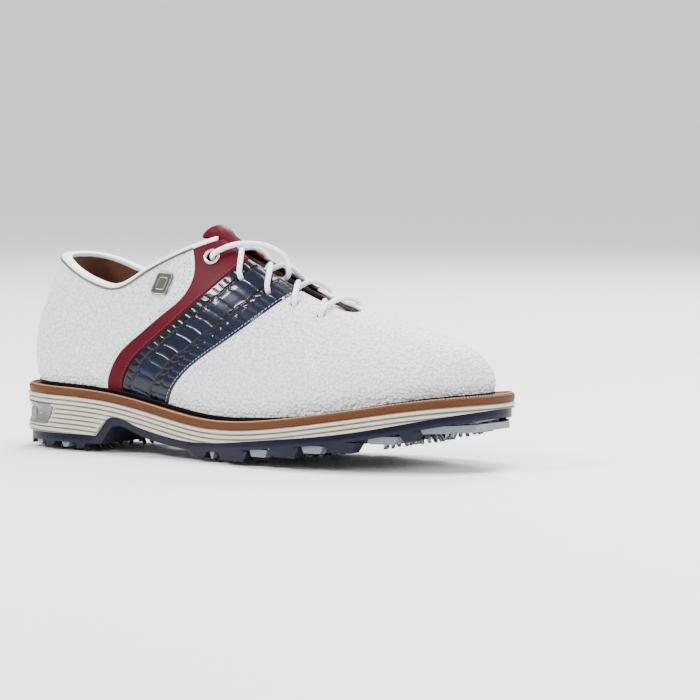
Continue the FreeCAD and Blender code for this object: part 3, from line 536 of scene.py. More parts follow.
# ---------------------------------------------------------------- materials
class Look:
    """A principled material, with short calls for the nodes that give it detail."""

    def __init__(self, name, color, rough, sockets):
        self.material = bpy.data.materials.new(name)
        self.material.use_nodes = True
        self.tree = self.material.node_tree
        self.shader = self.tree.nodes["Principled BSDF"]
        self.coords = self.node("TexCoord").outputs["Object"]
        for key, value in {"Base_Color": (*color, 1), "Roughness": rough, **sockets}.items():
            self.shader.inputs[key.replace("_", " ")].default_value = value

    def feed(self, socket, source):
        """Links a socket to another node's output, or sets its value."""
        if hasattr(source, "is_linked"):
            self.tree.links.new(source, socket)
        else:
            socket.default_value = source

    def node(self, kind, *sources, **values):
        """A shader node with its properties and values set; the sources feed its first sockets."""
        made = self.tree.nodes.new("ShaderNode" + kind)
        for key, value in values.items():
            if hasattr(made, key):
                setattr(made, key, value)
            else:
                made.inputs[key.replace("_", " ")].default_value = value
        for socket, source in zip(made.inputs, sources):
            self.feed(socket, source)
        return made

    def noise(self, scale, detail=3.0, roughness=0.55):
        """Noise texture's value over the object."""
        return self.node("TexNoise", self.coords, Scale=scale, Detail=detail,
                         Roughness=roughness).outputs["Fac"]

    def ramp(self, value, *stops):
        """Colour ramp with (position, colour) stops."""
        made = self.node("ValToRGB", value)
        elements = made.color_ramp.elements
        while len(elements) < len(stops):
            elements.new(0.5)
        for e, (at, color) in zip(elements, stops):
            e.position = at
            e.color = (*color, 1)
        return made.outputs["Color"]

    def math(self, operation, *values):
        """Value of a sum or product of values or outputs."""
        return self.node("Math", *values, operation=operation).outputs[0]

    def blend(self, share, a, b, **values):
        """Colour mixed from two."""
        return self.node("MixRGB", share, a, b, **values).outputs[0]

    def paint(self, color):
        """Sends a colour to the shader."""
        self.feed(self.shader.inputs["Base Color"], color)

    def bump(self, height, strength, distance):
        """Bump from a height value, into the shader's normal."""
        made = self.node("Bump", Strength=strength, Distance=distance)
        self.feed(made.inputs["Height"], height)
        self.feed(self.shader.inputs["Normal"], made.outputs["Normal"])

    def gloss(self, value, low, high):
        """Roughness between two values, following a texture."""
        made = self.node("MapRange", value, To_Min=low, To_Max=high)
        self.feed(self.shader.inputs["Roughness"], made.outputs["Result"])


def material(name, color, rough, detail, **values):
    """A material with its detail; capitalised values are the shader's sockets, the others the detail's."""
    look = Look(name, color, rough, {k: v for k, v in values.items() if not k.islower()})
    detail(look, color, rough, **{k: v for k, v in values.items() if k.islower()})
    return look.material


def tinted(color, factor):
    """A colour made darker or lighter."""
    return tuple(min(1.0, c * factor) for c in color)


def pebbled(look, color, rough, cell=1.85 * MM, depth=1.45 * MM, crease_shade=0.66):
    """Pebbled leather: rounded cells with painted shade in the soft creases between them, and fine pores.
    """
    warp = look.node("TexNoise", look.coords, Scale=1 / (cell * 3.2), Detail=2.0).outputs["Color"]
    place = look.node("VectorMath", warp, (cell * 0.45,) * 3, look.coords, operation="MULTIPLY_ADD")
    cells = look.node("TexVoronoi", place.outputs[0], feature="SMOOTH_F1", Scale=1 / cell,
                      Smoothness=0.3, Randomness=0.8).outputs["Distance"]
    pores = look.math("MULTIPLY", look.noise(1 / (0.28 * MM), 2.0), 0.04)
    look.bump(look.math("ADD", look.math("MULTIPLY", cells, -1.0), pores), 1.0, depth)
    # Painted shade: the creases between the cells are tinted darker by the crease factor, as the shade that
    # falls in them.
    crease_shaded = look.ramp(cells, (0.18, color), (0.72, tinted(color, crease_shade)))
    patches = look.ramp(look.noise(22), (0.3, (0.97, 0.97, 0.98)), (0.7, (1, 1, 1)))
    look.paint(look.blend(1.0, crease_shaded, patches, blend_type="MULTIPLY"))
    look.gloss(cells, rough - 0.06, rough + 0.14)


def grained(look, color, rough, scale=0.45, depth=0.08, vary=0.12):
    """Smooth leather or moulded plastic: fine grain in mm, and slow changes of tone and gloss."""
    look.bump(look.noise(1 / (scale * MM), 4.0), 0.6, depth * MM)
    slow = look.noise(45, 4.0)
    look.paint(look.ramp(slow, (0.25, tinted(color, 1 - vary)), (0.75, tinted(color, 1 + vary))))
    look.gloss(slow, rough - 0.05, rough + 0.07)


def crocodile(look, color, rough):
    """Glossy dark-blue leather, mottled to black in its hollows, which the mesh's "tile" names."""
    tile = look.node("Attribute", attribute_name="tile").outputs["Fac"]
    mixed = look.math("ADD", look.math("MULTIPLY", look.noise(260, 3.0, 0.6), 0.75),
                      look.math("MULTIPLY", tile, 0.42))
    mixed = look.math("ADD", mixed, look.math("MULTIPLY", look.noise(95, 2.0), 0.3))
    look.paint(look.ramp(mixed, (0.54, (0.0002, 0.0003, 0.0008)), (0.74, (0.0002, 0.0016, 0.0075)),
                         (0.98, color)))
    look.bump(look.noise(900), 0.25, 0.05 * MM)


def groove_shaded(look, color, rough, dark):
    """Moulded or cut edge with painted shade: darker in its grooves, which the mesh's "tile" values name,
    and a little lighter on its crests as a painted highlight.
    """
    tile = look.node("Attribute", attribute_name="tile").outputs["Fac"]
    grain = look.noise(1 / (0.5 * MM), 4.0)
    look.bump(grain, 0.6, 0.08 * MM)
    shade = look.math("ADD", tile, look.math("MULTIPLY", look.noise(60), 0.25))
    # Painted shade in the grooves, as dark as the dark factor makes it, and a slight painted highlight on
    # the crests.
    look.paint(look.ramp(shade, (0.15, tinted(color, dark)), (0.62, color), (1.0, tinted(color, 1.08))))
    look.gloss(grain, rough - 0.05, rough + 0.08)


def two_tone(look, color, rough):
    """Outsole: a navy band along its top edge over slate, with fine moulding grain."""
    apart = look.node("SeparateXYZ", look.coords).outputs
    line = look.node("FloatCurve")
    points = line.mapping.curves[0].points
    points[0].location = (0, BAND_LINE[0][1] / BAND_HIGH)
    points[1].location = (1, BAND_LINE[-1][1] / BAND_HIGH)
    for x, z in BAND_LINE[1:-1]:
        points.new(x / BAND_LONG + 0.5, z / BAND_HIGH).handle_type = "VECTOR"
    line.mapping.update()
    look.feed(line.inputs["Value"], look.math("MULTIPLY_ADD", apart["X"], 1 / (BAND_LONG * MM), 0.5))
    height = look.math("MULTIPLY", apart["Z"], 1 / (BAND_HIGH * MM))
    above = look.math("SUBTRACT", height, line.outputs[0])
    share = look.math("MULTIPLY_ADD", above, BAND_CRISP, 0.5)
    share = look.math("MINIMUM", look.math("MAXIMUM", share, 0.0), 1.0)
    slow = look.noise(45, 4.0)
    slate = look.ramp(slow, (0.25, tinted(SLATE, 0.85)), (0.75, tinted(SLATE, 1.15)))
    band = look.ramp(slow, (0.25, tinted(color, 0.8)), (0.75, tinted(color, 1.2)))
    look.paint(look.blend(share, slate, band))
    look.bump(look.noise(1 / (0.6 * MM), 4.0), 0.6, 0.05 * MM)
    look.gloss(slow, rough - 0.06, rough + 0.06)


def braid(look, color, rough):
    """Matte white thread with a fine weave."""
    weave = look.node("TexVoronoi", look.coords, Scale=1 / (0.42 * MM))
    look.bump(weave.outputs["Distance"], 0.35, 0.12 * MM)
    look.paint(look.ramp(look.noise(160), (0.3, (0.70, 0.70, 0.73)), (0.7, color)))


def suede(look, color, rough):
    """Napped lining or foam: soft mottled tone and a fine fibre bump."""
    look.bump(look.noise(1500, 4.0, 0.7), 0.7, 0.18 * MM)
    look.paint(look.ramp(look.noise(70, 5.0, 0.65), (0.2, tinted(color, 0.62)), (0.5, color),
                         (0.8, tinted(color, 1.35))))


def brushed(look, color, rough):
    """Metal with fine scratches and slow changes of gloss."""
    look.bump(look.noise(2400, 2.0), 0.15, 0.02 * MM)
    look.gloss(look.noise(300), rough - 0.06, rough + 0.1)
    look.paint(look.ramp(look.noise(180), (0.3, tinted(color, 0.8)), (0.7, color)))


WHITE, RED, NAVY = (0.82, 0.825, 0.85), (0.058, 0.0004, 0.0050), (0.0003, 0.0046, 0.021)
CREAM, BROWN, TAN = (0.43, 0.40, 0.315), (0.070, 0.0215, 0.0045), (0.070, 0.019, 0.0045)
SLATE, BAND_NAVY = (0.0105, 0.0102, 0.0190), (0.0006, 0.0009, 0.0135)
# Lower edge of the outsole's navy band, as (x, z) in mm; it leaves out the arch.
BAND_LINE = [(-160, 6.4), (-88, 6.4), (-84, 45), (-24, 45), (-18, 8.0), (20, 9.9), (38, 11.2), (51, 12.8),
             (88, 17.2), (123, 23.9), (141, 27.8), (160, 31)]
BAND_LONG, BAND_HIGH, BAND_CRISP = 320, 50, 60.0
HARD_GREY = dict(scale=0.7, depth=0.05, vary=0.08)
# Name, colour, roughness and detail of each material; then its detail's settings, and the shader's sockets.
MAT = {name: material(name, color, rough, detail, **values) for name, color, rough, detail, values in (
    ("pebbled_leather", WHITE, 0.42, pebbled, dict(Coat_Weight=0.12, Coat_Roughness=0.35)),
    ("white_leather", WHITE, 0.40, grained, dict(vary=0.03)),
    ("red_leather", RED, 0.48, grained, dict(vary=0.14, Specular_IOR_Level=0.10)),
    ("crocodile_leather", NAVY, 0.2, crocodile,
     dict(Coat_Weight=0.40, Coat_Roughness=0.05, Specular_IOR_Level=0.10)),
    ("navy_leather", (0.0005, 0.0045, 0.020), 0.4, grained, dict(vary=0.2, Specular_IOR_Level=0.2)),
    ("cut_edge", (0.012, 0.012, 0.018), 0.5, grained, dict(vary=0.3)),
    ("tan_suede", TAN, 0.85, suede, dict(Sheen_Weight=0.35, Sheen_Roughness=0.4)),
    # The ribbed midsole and the notched welt get painted shade in their grooves; dark sets how dark it is.
    ("ribbed_midsole", CREAM, 0.5, groove_shaded, dict(dark=0.13)),
    ("notched_welt", BROWN, 0.55, groove_shaded, dict(dark=0.3, Specular_IOR_Level=0.15)),
    ("welt_leather", BROWN, 0.55, grained, dict(scale=0.5, depth=0.25, vary=0.3, Specular_IOR_Level=0.15)),
    # Dark rand strip, part real rand and part painted shadow under the upper.
    ("dark_rand_and_shadow", (0.006, 0.004, 0.003), 0.6, grained, dict(vary=0.3, Specular_IOR_Level=0.1)),
    ("welt_thread", (0.30, 0.145, 0.07), 0.7, grained, dict(vary=0.2)),
    ("cream_midsole", CREAM, 0.5, grained, dict(scale=0.8, depth=0.06, vary=0.04)),
    ("outsole", BAND_NAVY, 0.42, two_tone, dict(Specular_IOR_Level=0.12)),
    ("grey_insert", (0.10, 0.112, 0.14), 0.25, grained, HARD_GREY),
    ("grey_clip", (0.085, 0.092, 0.095), 0.30, grained, HARD_GREY),
    ("light_clip", (0.17, 0.18, 0.18), 0.28, grained, HARD_GREY),
    ("black_cleat", (0.008, 0.008, 0.010), 0.28, grained, dict(scale=0.5, depth=0.05, vary=0.3)),
    ("smoke_cleat", (0.32, 0.33, 0.35), 0.12, grained,
     dict(scale=0.9, depth=0.04, vary=0.1, Transmission_Weight=0.82, IOR=1.45)),
    ("eyelet_metal", (0.62, 0.60, 0.56), 0.22, brushed, dict(Metallic=1.0)),
    ("light_metal", (0.25, 0.25, 0.23), 0.3, brushed, dict(Metallic=0.9)),
    ("badge_metal", (0.075, 0.075, 0.062), 0.35, brushed, dict(Metallic=0.85)),
    ("steel", (0.5, 0.5, 0.52), 0.3, brushed, dict(Metallic=1.0)),
    ("white_lace", (0.86, 0.86, 0.88), 0.75, braid, {}),
    ("white_thread", (0.78, 0.78, 0.80), 0.7, grained, dict(scale=0.25, depth=0.06, vary=0.06)),
    ("red_thread", (0.035, 0.010, 0.015), 0.6, grained, dict(scale=0.25, depth=0.06, vary=0.3)),
    ("blue_thread", (0.16, 0.24, 0.38), 0.6, grained, dict(scale=0.25, depth=0.06, vary=0.2)),
    # Dark grey for the beads that stand in for the shade inside perforation holes.
    ("painted_hole_shade", (0.16, 0.16, 0.18), 0.9, grained, dict(vary=0.3)),
    ("grey_piping", (0.055, 0.055, 0.062), 0.5, grained, dict(vary=0.25)),
    ("cream_foam", (0.6, 0.56, 0.46), 0.85, suede, {}),
    ("fibre_board", (0.36, 0.27, 0.17), 0.85, suede, {}),
)}


def finish_node(name, look, bevel=0.0, sharp=35):
    """Material for a carried-over CAD node, whose edges sharper than some degrees are softened."""
    obj = frame["nodes"][name]
    for s in obj.material_slots:
        s.material = MAT[look]
    if bevel:
        soft = obj.modifiers.new("soft_edges", "BEVEL")
        soft.width = bevel
        soft.segments = 2
        soft.limit_method = "ANGLE"
        soft.angle_limit = math.radians(sharp)
        soft.use_clamp_overlap = True


def hole_places(patch, radius):
    """Centre, normal and radius, given in mm, of each eyelet hole of a panel."""
    out = []
    for loop in patch.holes:
        centre = loop.mean(0)
        across = np.linalg.svd(loop - centre)[2]
        out.append((centre, across[2] * np.sign(across[2][2]), radius * MM))
    return sorted(out, key=lambda h: h[0][0])


def stitch_rows(g, n, pitch, *rows):
    """Rows for beads(), each given as a side of the grid, the distance in from it and the ends left out."""
    return [(*inset_line(g, n, side, inset * MM, (first * MM, last * MM)), pitch * MM)
            for side, inset, first, last in rows]


# ---------------------------------------------------------------- upper
SIDES = (("lateral", -1), ("medial", 1))
OUT = {"lateral": np.array([0.0, -1, 0.3]), "medial": np.array([0.0, 1, 0.3])}
# Which boundary points are the corners of the saddle and of the red trim: the lowest scores.
BAND_CORNERS = [lambda p: p[:, 0] * 0.3 - p[:, 2], lambda p: -p[:, 0] - 0.3 * p[:, 2],
                lambda p: 3 * p[:, 2] - p[:, 0], lambda p: p[:, 0] + 3 * p[:, 2]]
# Crocodile tiles: each row's pitch in mm and its tone; then in mm, the depth and width of the cuts
# between tiles and of the seams between rows, and the height and reach of a tile's rounding.
TILE_ROWS = ((5.0, 0.10), (8.4, 0.55), (5.4, 0.50))
TILE_CUTS, TILE_SEED = 60, 11
CUT, SEAM, DOME = (0.16, 0.30), (0.34, 0.55), (0.16, 3.2)


def side_score(sign):
    """Prefers large triangles that face one side of the shoe."""
    return lambda centre, normal, area: normal[:, 1] * sign + area * 1e4


def croc_relief(g):
    """Height and tone of crocodile tiles over the saddle's grid."""
    du, _, down, _ = edge_distance(g)
    width = du[-1:] + 1e-9
    across = du / width
    rng = np.random.default_rng(TILE_SEED)

    def seam(share, size, phase):
        d = down / MM
        return share + size * (np.sin(d / 3.6 + phase) + 0.5 * np.sin(d / 1.45 + 2.3 * phase)
                               + 0.3 * np.sin(d / 0.62 + phase))

    seams = [np.full_like(across, -0.02), seam(0.17, 0.010, 0.4), seam(0.60, 0.011, 2.0),
             np.full_like(across, 1.02)]
    height, tone = np.zeros_like(across), np.zeros_like(across)
    for low, high, (pitch, base_tone) in zip(seams, seams[1:], TILE_ROWS):
        inside = (across >= low) & (across < high)
        t = (across - low) / (high - low)
        run = down + pitch * (0.16 * np.cos((t - 0.5) * 2.8) - 0.14 * t) * MM
        cuts = np.cumsum(rng.uniform(0.78, 1.22, TILE_CUTS) * pitch * MM) - 2 * pitch * MM
        k = np.clip(np.searchsorted(cuts, run.ravel()).reshape(run.shape), 1, TILE_CUTS - 1)
        gap = np.minimum(run - cuts[k - 1], cuts[k] - run)
        side = np.minimum(across - low, high - across) * width
        groove = CUT[0] * np.exp(-(gap / (CUT[1] * MM)) ** 2)
        trench = SEAM[0] * np.exp(-(side / (SEAM[1] * MM)) ** 2)
        crown = DOME[0] * np.sqrt(np.clip(np.minimum(gap, side) / (DOME[1] * MM), 0, 1))
        dark = 1 - np.exp(-(side / (1.3 * MM)) ** 1.5)
        height = np.where(inside, (crown - groove - trench) * MM, height)
        tone = np.where(inside, (base_tone + rng.uniform(0, 0.4, TILE_CUTS)[k]) * dark, tone)
    fade = np.clip((np.minimum.reduce(edge_distance(g)) - 0.9 * MM) / (1.2 * MM), 0, 1)
    return (height - 0.12 * MM) * fade, tone * fade


def saddle(word, sign):
    """Crocodile band from the throat to the welt, with its stitches."""
    patch = Patch("saddle_" + word, side_score(sign), BAND_CORNERS)
    g = patch.grid(shares(37, 0.3, 0.8), shares(111, 0.3, 0.8))
    n = grid_normals(g, OUT[word])
    shell("croc_saddle_" + word, "saddle_" + word, "leather_navy", g, n, 1.8, 0.6,
          ["crocodile_leather", "cut_edge"], hole_places(patch, 2.3), *croc_relief(g))
    beads("saddle_stitches_" + word, stitch_rows(g, n, 2.3, ("u1", 1.7, 3, 3)),
          (1.7, 0.5, 0.45), "blue_thread", -0.02 * MM, 0.1)


def trim(word, sign):
    """Red band behind the saddle; gives the hole of the ring eyelet."""
    patch = Patch("trim_" + word, side_score(sign), BAND_CORNERS)
    g = patch.grid(shares(16, 0.6, 0.7), shares(116, 0.7, 0.7),
                   (15, 81), 90)
    n = grid_normals(g, OUT[word])
    holes = hole_places(patch, 3.3)
    shell("red_trim_" + word, "trim_" + word, "leather_red", g, n, 2.1, 0.6, ["red_leather"], holes)
    beads("trim_stitches_" + word, stitch_rows(g, n, 2.1, ("u1", 1.3, 3, 3), ("v0", 1.6, 3, 2)),
          (1.5, 0.45, 0.4), "red_thread")
    return holes[0]


def quarter(word, sign):
    """White pebbled quarter, with rows of dark beads at its front, painted as the shade inside perforation
    holes, and a piping at its top.
    """
    patch = Patch("quarter_" + word, side_score(sign),
                  [lambda p: p[:, 0] * 0.6 - p[:, 2] + abs(p[:, 1] - 0.001) * 2 + (p[:, 0] > -0.1),
                   lambda p: -p[:, 0] - p[:, 2], lambda p: 3 * p[:, 2] - p[:, 0],
                   lambda p: 0.5 * p[:, 0] + p[:, 2] + abs(p[:, 1] - 0.001) * 2])
    g = patch.grid(shares(115, 0.8, 0.8), shares(100, 0.8, 0.8), (41, 41))
    n = grid_normals(g, OUT[word] + np.array([-0.1, 0, -0.3]))
    shell("pebbled_quarter_" + word, "quarter_" + word, "leather_white", g, n, 2.4, 0.7,
          ["pebbled_leather", "white_leather"])
    # Painted shade: dark grey beads stand in for the shade inside the perforation holes.
    rows = stitch_rows(g, n, 2.3, ("u1", 2.5, 4, 60), ("u1", 6.0, 4, 56), ("u1", 3.2, 56, 4))
    beads("quarter_perforations_" + word, rows, (1.2, 0.55, 0.3), "painted_hole_shade")
    top = g[:, 0] + n[:, 0] * 0.35 * MM
    swept("topline_piping_" + word, top, frames_along(top, n[:, 0]),
          [round_section(0.62 * MM)] * len(top), "grey_piping")


def vamp():
    """White pebbled front, from the throat round the toe."""
    patch = Patch("vamp", lambda c, n, a: n[:, 2] + a * 1e4 + c[:, 0] * 5,
                  [lambda p: -p[:, 2] + p[:, 1] * 0.5, lambda p: p[:, 0] + p[:, 2] * 0.5 + p[:, 1],
                   lambda p: p[:, 0] + p[:, 2] * 0.5 - p[:, 1], lambda p: -p[:, 2] - p[:, 1] * 0.5])
    g = patch.grid(shares(100, 0.8, 0.7), shares(330, 1.0, 0.7), (31, 61))
    n = grid_normals(g, np.array([0.6, 0, 1.0]))
    shell("pebbled_vamp", "vamp", "leather_white", g, n, 1.4, 0.5, ["pebbled_leather", "white_leather"],
          hole_places(patch, 2.3))
    # Painted shade: dark grey beads stand in for the shade inside the perforation holes.
    beads("vamp_perforations", stitch_rows(g, n, 2.3, ("v0", 5, 6, 6), ("v1", 5, 6, 6)),
          (1.2, 0.5, 0.3), "painted_hole_shade")
    beads("throat_stitches", stitch_rows(g, n, 2.3, ("u0", 2.2, 3, 3)),
          (1.7, 0.45, 0.35), "white_thread")


def linings():
    """Rolled topline binding, suede linings and the cushioned sockliner."""
    softened("rolled_topline", "topline_binding", "white_leather", 0.45, 10)
    for name in ("quarter_lining", "vamp_lining"):
        softened("suede_" + name, name, "tan_suede", 0.6, 2)
    obj = softened("cushioned_sockliner", "sockliner", "tan_suede", 1.4, 8)


# The tongue's upper end in mm: place along the shoe, top, edge and underside heights, half width.
CROWN = [(2, 101, 99.5, 98, 5.0), (-4, 105.5, 103.5, 102, 5.6), (-9, 109.5, 106.5, 105, 6.0),
         (-13, 114, 110, 107.5, 6.2), (-16, 119.5, 114.5, 109.5, 6.4), (-19, 123.5, 118, 111.5, 6.6),
         (-22, 125.6, 120, 113.5, 6.8), (-25.5, 126, 121, 116, 6.8), (-29, 124.6, 121, 117.5, 6.4),
         (-32.5, 121.8, 119.8, 117.8, 5.2), (-35, 119.2, 118.6, 118, 2.0)]
CROWN_MIDDLE = -1.5 * MM


def tongue_crown():
    """The tongue's padded upper end, which swells out of the throat."""
    knots = np.array(CROWN) * MM
    at = np.linspace(0, 1, 70)
    rows = np.stack([np.interp(at, np.linspace(0, 1, len(knots)), knots[:, k]) for k in range(5)], 1)
    rows = relaxed(rows, 14)
    angle = np.linspace(0, 2 * math.pi, 48, endpoint=False)
    c, w = (np.sign(v) * np.abs(v) ** 0.8 for v in (np.cos(angle), np.sin(angle)))
    centres = np.array([(x, CROWN_MIDDLE, edge) for x, _, edge, _, _ in rows])
    sections = [np.stack([c * half, np.where(w > 0, w * (top - edge), w * (edge - under))], 1)
                for _, top, edge, under, half in rows]
    obj = swept("padded_tongue_crown", centres, [(np.array([0.0, 1, 0]), UP)] * len(rows), sections,
                "red_leather", "tongue")


def tongue():
    """Padded tongue: red and navy face leathers and a tan lining over one foam pad."""
    for part, look, slot in (("upper", "red_leather", "leather_red"),
                             ("lower", "navy_leather", "leather_navy"),
                             ("foam", "cream_foam", "foam"), ("lining", "tan_suede", "lining_tan")):
        obj = softened("padded_tongue_" + part, "tongue_" + part, look, 0.4, 4, "tongue")
    tongue_crown()


# Radius and height of the ring eyelet's section, in mm.
EYELET = [(2.85, -4.9), (2.85, 0.6), (3.0, 1.1), (3.4, 1.45), (3.9, 1.5), (4.4, 1.25),
          (4.7, 0.75), (4.7, 0.2), (3.2, 0.15), (3.2, -4.9)]


def eyelet(word, hole):
    """Rounded metal ring in a top eyelet; the lateral one stands for both in the CAD."""
    obj = lathe("ring_eyelet_" + word, [(r * MM, h * MM) for r, h in EYELET], *hole[:2],
                "eyelet_metal", "eyelet_metal")
    if word == "lateral":
        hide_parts("eyelet_rings")


# ---------------------------------------------------------------- lace
# Radius of the CAD tube; then in mm, the lace's own radius, the height and length of its weave.
LACE_RADIUS = 1.5 * MM
WOVEN_RADIUS, WEAVE_HIGH, WEAVE_LONG, LACE_STEP = 1.44, 0.07, 1.9, 0.45


def tube_line(node_name, radius):
    """Centre line of a round CAD tube, from the rings of points round it."""
    co, tri = merged(node_name)
    normal = unit(face_normals(co, tri))
    sums = np.zeros_like(co)
    for k in range(3):
        a = unit(co[tri[:, (k + 1) % 3]] - co[tri[:, k]])
        b = unit(co[tri[:, (k + 2) % 3]] - co[tri[:, k]])
        angle = np.arccos(np.clip((a * b).sum(1), -1, 1))
        np.add.at(sums, tri[:, k], normal * angle[:, None])
    centre = co - unit(sums) * radius
    root = np.arange(len(co))

    def find(i):
        while root[i] != i:
            root[i] = root[root[i]]
            i = root[i]
        return i

    edges = {(min(e), max(e)) for t in tri for e in edges_of(t)}
    for a, b in edges:
        if np.linalg.norm(centre[a] - centre[b]) < 0.12 * MM:
            root[find(a)] = find(b)
    group = np.array([find(i) for i in range(len(co))])
    names, back, count = np.unique(group, return_inverse=True, return_counts=True)
    rings = np.stack([np.bincount(back, centre[:, k]) / count for k in range(3)], 1)
    beside = {i: set() for i in range(len(names)) if count[i] >= 4}
    for a, b in edges:
        a, b = back[a], back[b]
        if a != b and a in beside and b in beside:
            beside[a].add(b)
            beside[b].add(a)
    start = min((i for i in beside if len(beside[i]) == 1), key=lambda i: rings[i][0])
    path, seen = [start], {start}
    while True:
        ahead = [i for i in beside[path[-1]] if i not in seen]
        if not ahead:
            return rings[path]
        path.append(min(ahead, key=lambda i: np.linalg.norm(rings[i] - rings[path[-1]])))
        seen.add(path[-1])


def lace():
    """Round woven lace, through the eyelets as the CAD tube runs."""
    line = evened(tube_line("lace", LACE_RADIUS), LACE_STEP * MM, 6)
    angle = np.linspace(0, 2 * math.pi, 24, endpoint=False)
    sections = []
    for i in range(len(line)):
        twist = 2 * math.pi * i * LACE_STEP / WEAVE_LONG
        weave = WEAVE_HIGH * np.sin(angle * 4 + twist) * np.sin(angle * 4 - twist)
        r = (WOVEN_RADIUS + weave) * MM
        sections.append(np.stack([np.cos(angle) * r, np.sin(angle) * r], 1))
    obj = swept("woven_lace", line, frames_along(line), sections, "white_lace")
    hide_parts("lace")


def badge():
    """Raised rim and a plain lozenge on the heel badge."""
    co, tri = merged("badge")
    face = smooth_region(co, tri, lambda c, n, a: -n[:, 1] + a * 1e4)
    loop = loops_of(co, face)[0]
    n = unit(unit(face_normals(co, face)).mean(0))
    centre = loop.mean(0)
    for name, share, radius in (("badge_rim", 0.93, 0.45), ("badge_lozenge", 0.52, 0.35)):
        points = centre + (resample_loop(loop, 60) - centre) * share + n * 0.1 * MM
        ring(name, points, n, radius * MM, "light_metal")
    finish_node("badge", "badge_metal", 0.25 * MM)


# ---------------------------------------------------------------- sole
def plan_loop(node_name, count=720):
    """Outer outline of a node's upper face, evenly spaced and smoothed, with outward normals."""
    co, tri = merged(node_name)
    loop = loops_of(co, smooth_region(co, tri, lambda c, n, a: n[:, 2] + a * 1e4))[0]
    line = relaxed(resample_loop(loop, count), 8, closed=True)
    d = np.roll(line, -1, 0) - np.roll(line, 1, 0)
    out = unit(np.stack([d[:, 1], -d[:, 0], np.zeros(len(d))], 1))
    return line, out if ((line - line.mean(0)) * out).sum() > 0 else -out


def level_hit(tree, p, n, z, start, far=0.03):
    """A level ray from outside an outline place inward: how far in it hits, and the normal there."""
    hit = tree.ray_cast(Vector((p[0] + n[0] * start, p[1] + n[1] * start, z)),
                        Vector((-n[0], -n[1], 0)), far)
    return (hit[3] - start, hit[1]) if hit[0] else (np.nan, None)


def wall_levels(tree, line, out):
    """Lowest and highest point of a node's side wall under each outline place, a little way in."""
    low, high = [], []
    for p, n in zip(line, out):
        x, y, _ = p - n * 0.6 * MM
        hit = tree.ray_cast(Vector((x, y, 0.2)), Vector((0, 0, -1)))
        high.append(hit[0].z if hit[0] else p[2])
        hit = tree.ray_cast(Vector((x, y, -0.1)), Vector((0, 0, 1)))
        low.append(hit[0].z if hit[0] else p[2] - 4 * MM)
    return relaxed(low, 6, closed=True), relaxed(high, 6, closed=True)


WALL_THICK, FAR_OUT = 1.5 * MM, 0.02
RIB_PITCH, RIB_DEPTH = 2.6 * MM, 1.05 * MM
WELT_NOTCH = 1.5 * MM


def wall_band(name, node_name, look, levels, relief):
    """Closed skin over a node's side wall; relief(distance below top, height, run) moves it out and gives
    the tone for its painted groove shade.
    """
    line, out = plan_loop("welt")
    tree = tree_over(*merged(node_name))
    low, high = wall_levels(tree, line, out)
    height = high - low
    rows, shade = [], []
    for share in np.linspace(0, 1, levels):
        z = high - share * height
        depth = filled([level_hit(tree, p, n, zz, FAR_OUT, 0.04)[0] for p, n, zz in zip(line, out, z)])
        base = line - out * relaxed(depth, 3, closed=True)[:, None]
        base[:, 2] = z
        proud, groove = relief(share * height, height, run_length(line))
        rows.append(base + out * proud[:, None])
        shade.append(groove)
    rows += [rows[-1] - out * WALL_THICK, rows[0] - out * WALL_THICK]
    obj = mesh_object(name, np.concatenate(rows), tube_faces(len(rows), len(line), closed=True),
                      [look])
    # These "tile" values set the painted shade in the grooves.
    set_tile(obj, np.concatenate(shade + [shade[0] * 0] * 2))


def ribs(down, height, run):
    """Rounded ribs at an even pitch below the top edge, and how far each place is from a groove, which the
    material paints as shade in the grooves and at the band's top and bottom.
    """
    wave = np.abs(np.sin(math.pi * down / RIB_PITCH)) ** 1.9
    edge = np.clip(np.minimum(down, height - down) / (0.4 * MM), 0, 1)
    return 0.12 * MM + RIB_DEPTH * wave * edge, wave * edge


def welt_ridge(down, height, run):
    """Rounded, finely notched welt edge, with a tone that the material paints as shade in the notches and
    towards the edge's top and bottom.
    """
    t = down / height
    round_out = np.sqrt(np.clip(4 * t * (1 - t), 0, 1))
    notch = 0.5 + 0.5 * np.cos(2 * math.pi * (run + down * 0.5) / WELT_NOTCH)
    upper = np.clip(1 - t * 1.6, 0, 1)
    return 0.1 * MM + (0.55 + 0.3 * notch * upper) * MM * round_out, 0.35 + 0.65 * notch * round_out


CLIP_THICK, CLIP_ROWS = 1.9 * MM, 36


def clip_hollow(t, s):
    """How far the heel clip's face lies in, over its height (t) and its length (s), 0 to 1."""
    ends = np.clip(np.minimum(s, 1 - s) / 0.05, 0, 1)
    return 1.5 * MM * np.sin(math.pi * np.clip(t, 0, 1)) ** 0.8 * (0.25 + 0.75 * ends)


def clip_face():
    """Grid over the heel clip's scooped outer face, along the clip and up it, with outward normals."""
    line, out = plan_loop("welt", 1440)
    tree = tree_over(*merged("heel_clip"))
    low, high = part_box("heel_clip")
    columns = []
    for p, n in zip(line, out):
        hits = []
        for z in np.linspace(low[2], high[2], 80) if p[0] <= high[0] else ():
            depth, normal = level_hit(tree, p, n, z, FAR_OUT)
            if normal and Vector(n).dot(normal) > 0.8:
                hits.append((z, depth))
        if len(hits) > 3:
            columns.append((math.atan2(p[1], -p[0] - 0.1), p, n, np.array(hits)))
    columns.sort(key=lambda c: c[0])
    t = np.linspace(0, 1, CLIP_ROWS)
    bottom = relaxed([hits[0, 0] for *_, hits in columns], 8)
    top = relaxed([hits[-1, 0] for *_, hits in columns], 8)
    grid = []
    for i, (_, p, n, hits) in enumerate(columns):
        z = bottom[i] + (top[i] - bottom[i]) * t
        depth = np.interp(z, hits[:, 0], hits[:, 1]) + clip_hollow(t, i / (len(columns) - 1))
        grid.append(np.stack([p[0] - n[0] * depth, p[1] - n[1] * depth, z], 1))
    return np.array(grid), np.array([n for _, _, n, _ in columns])


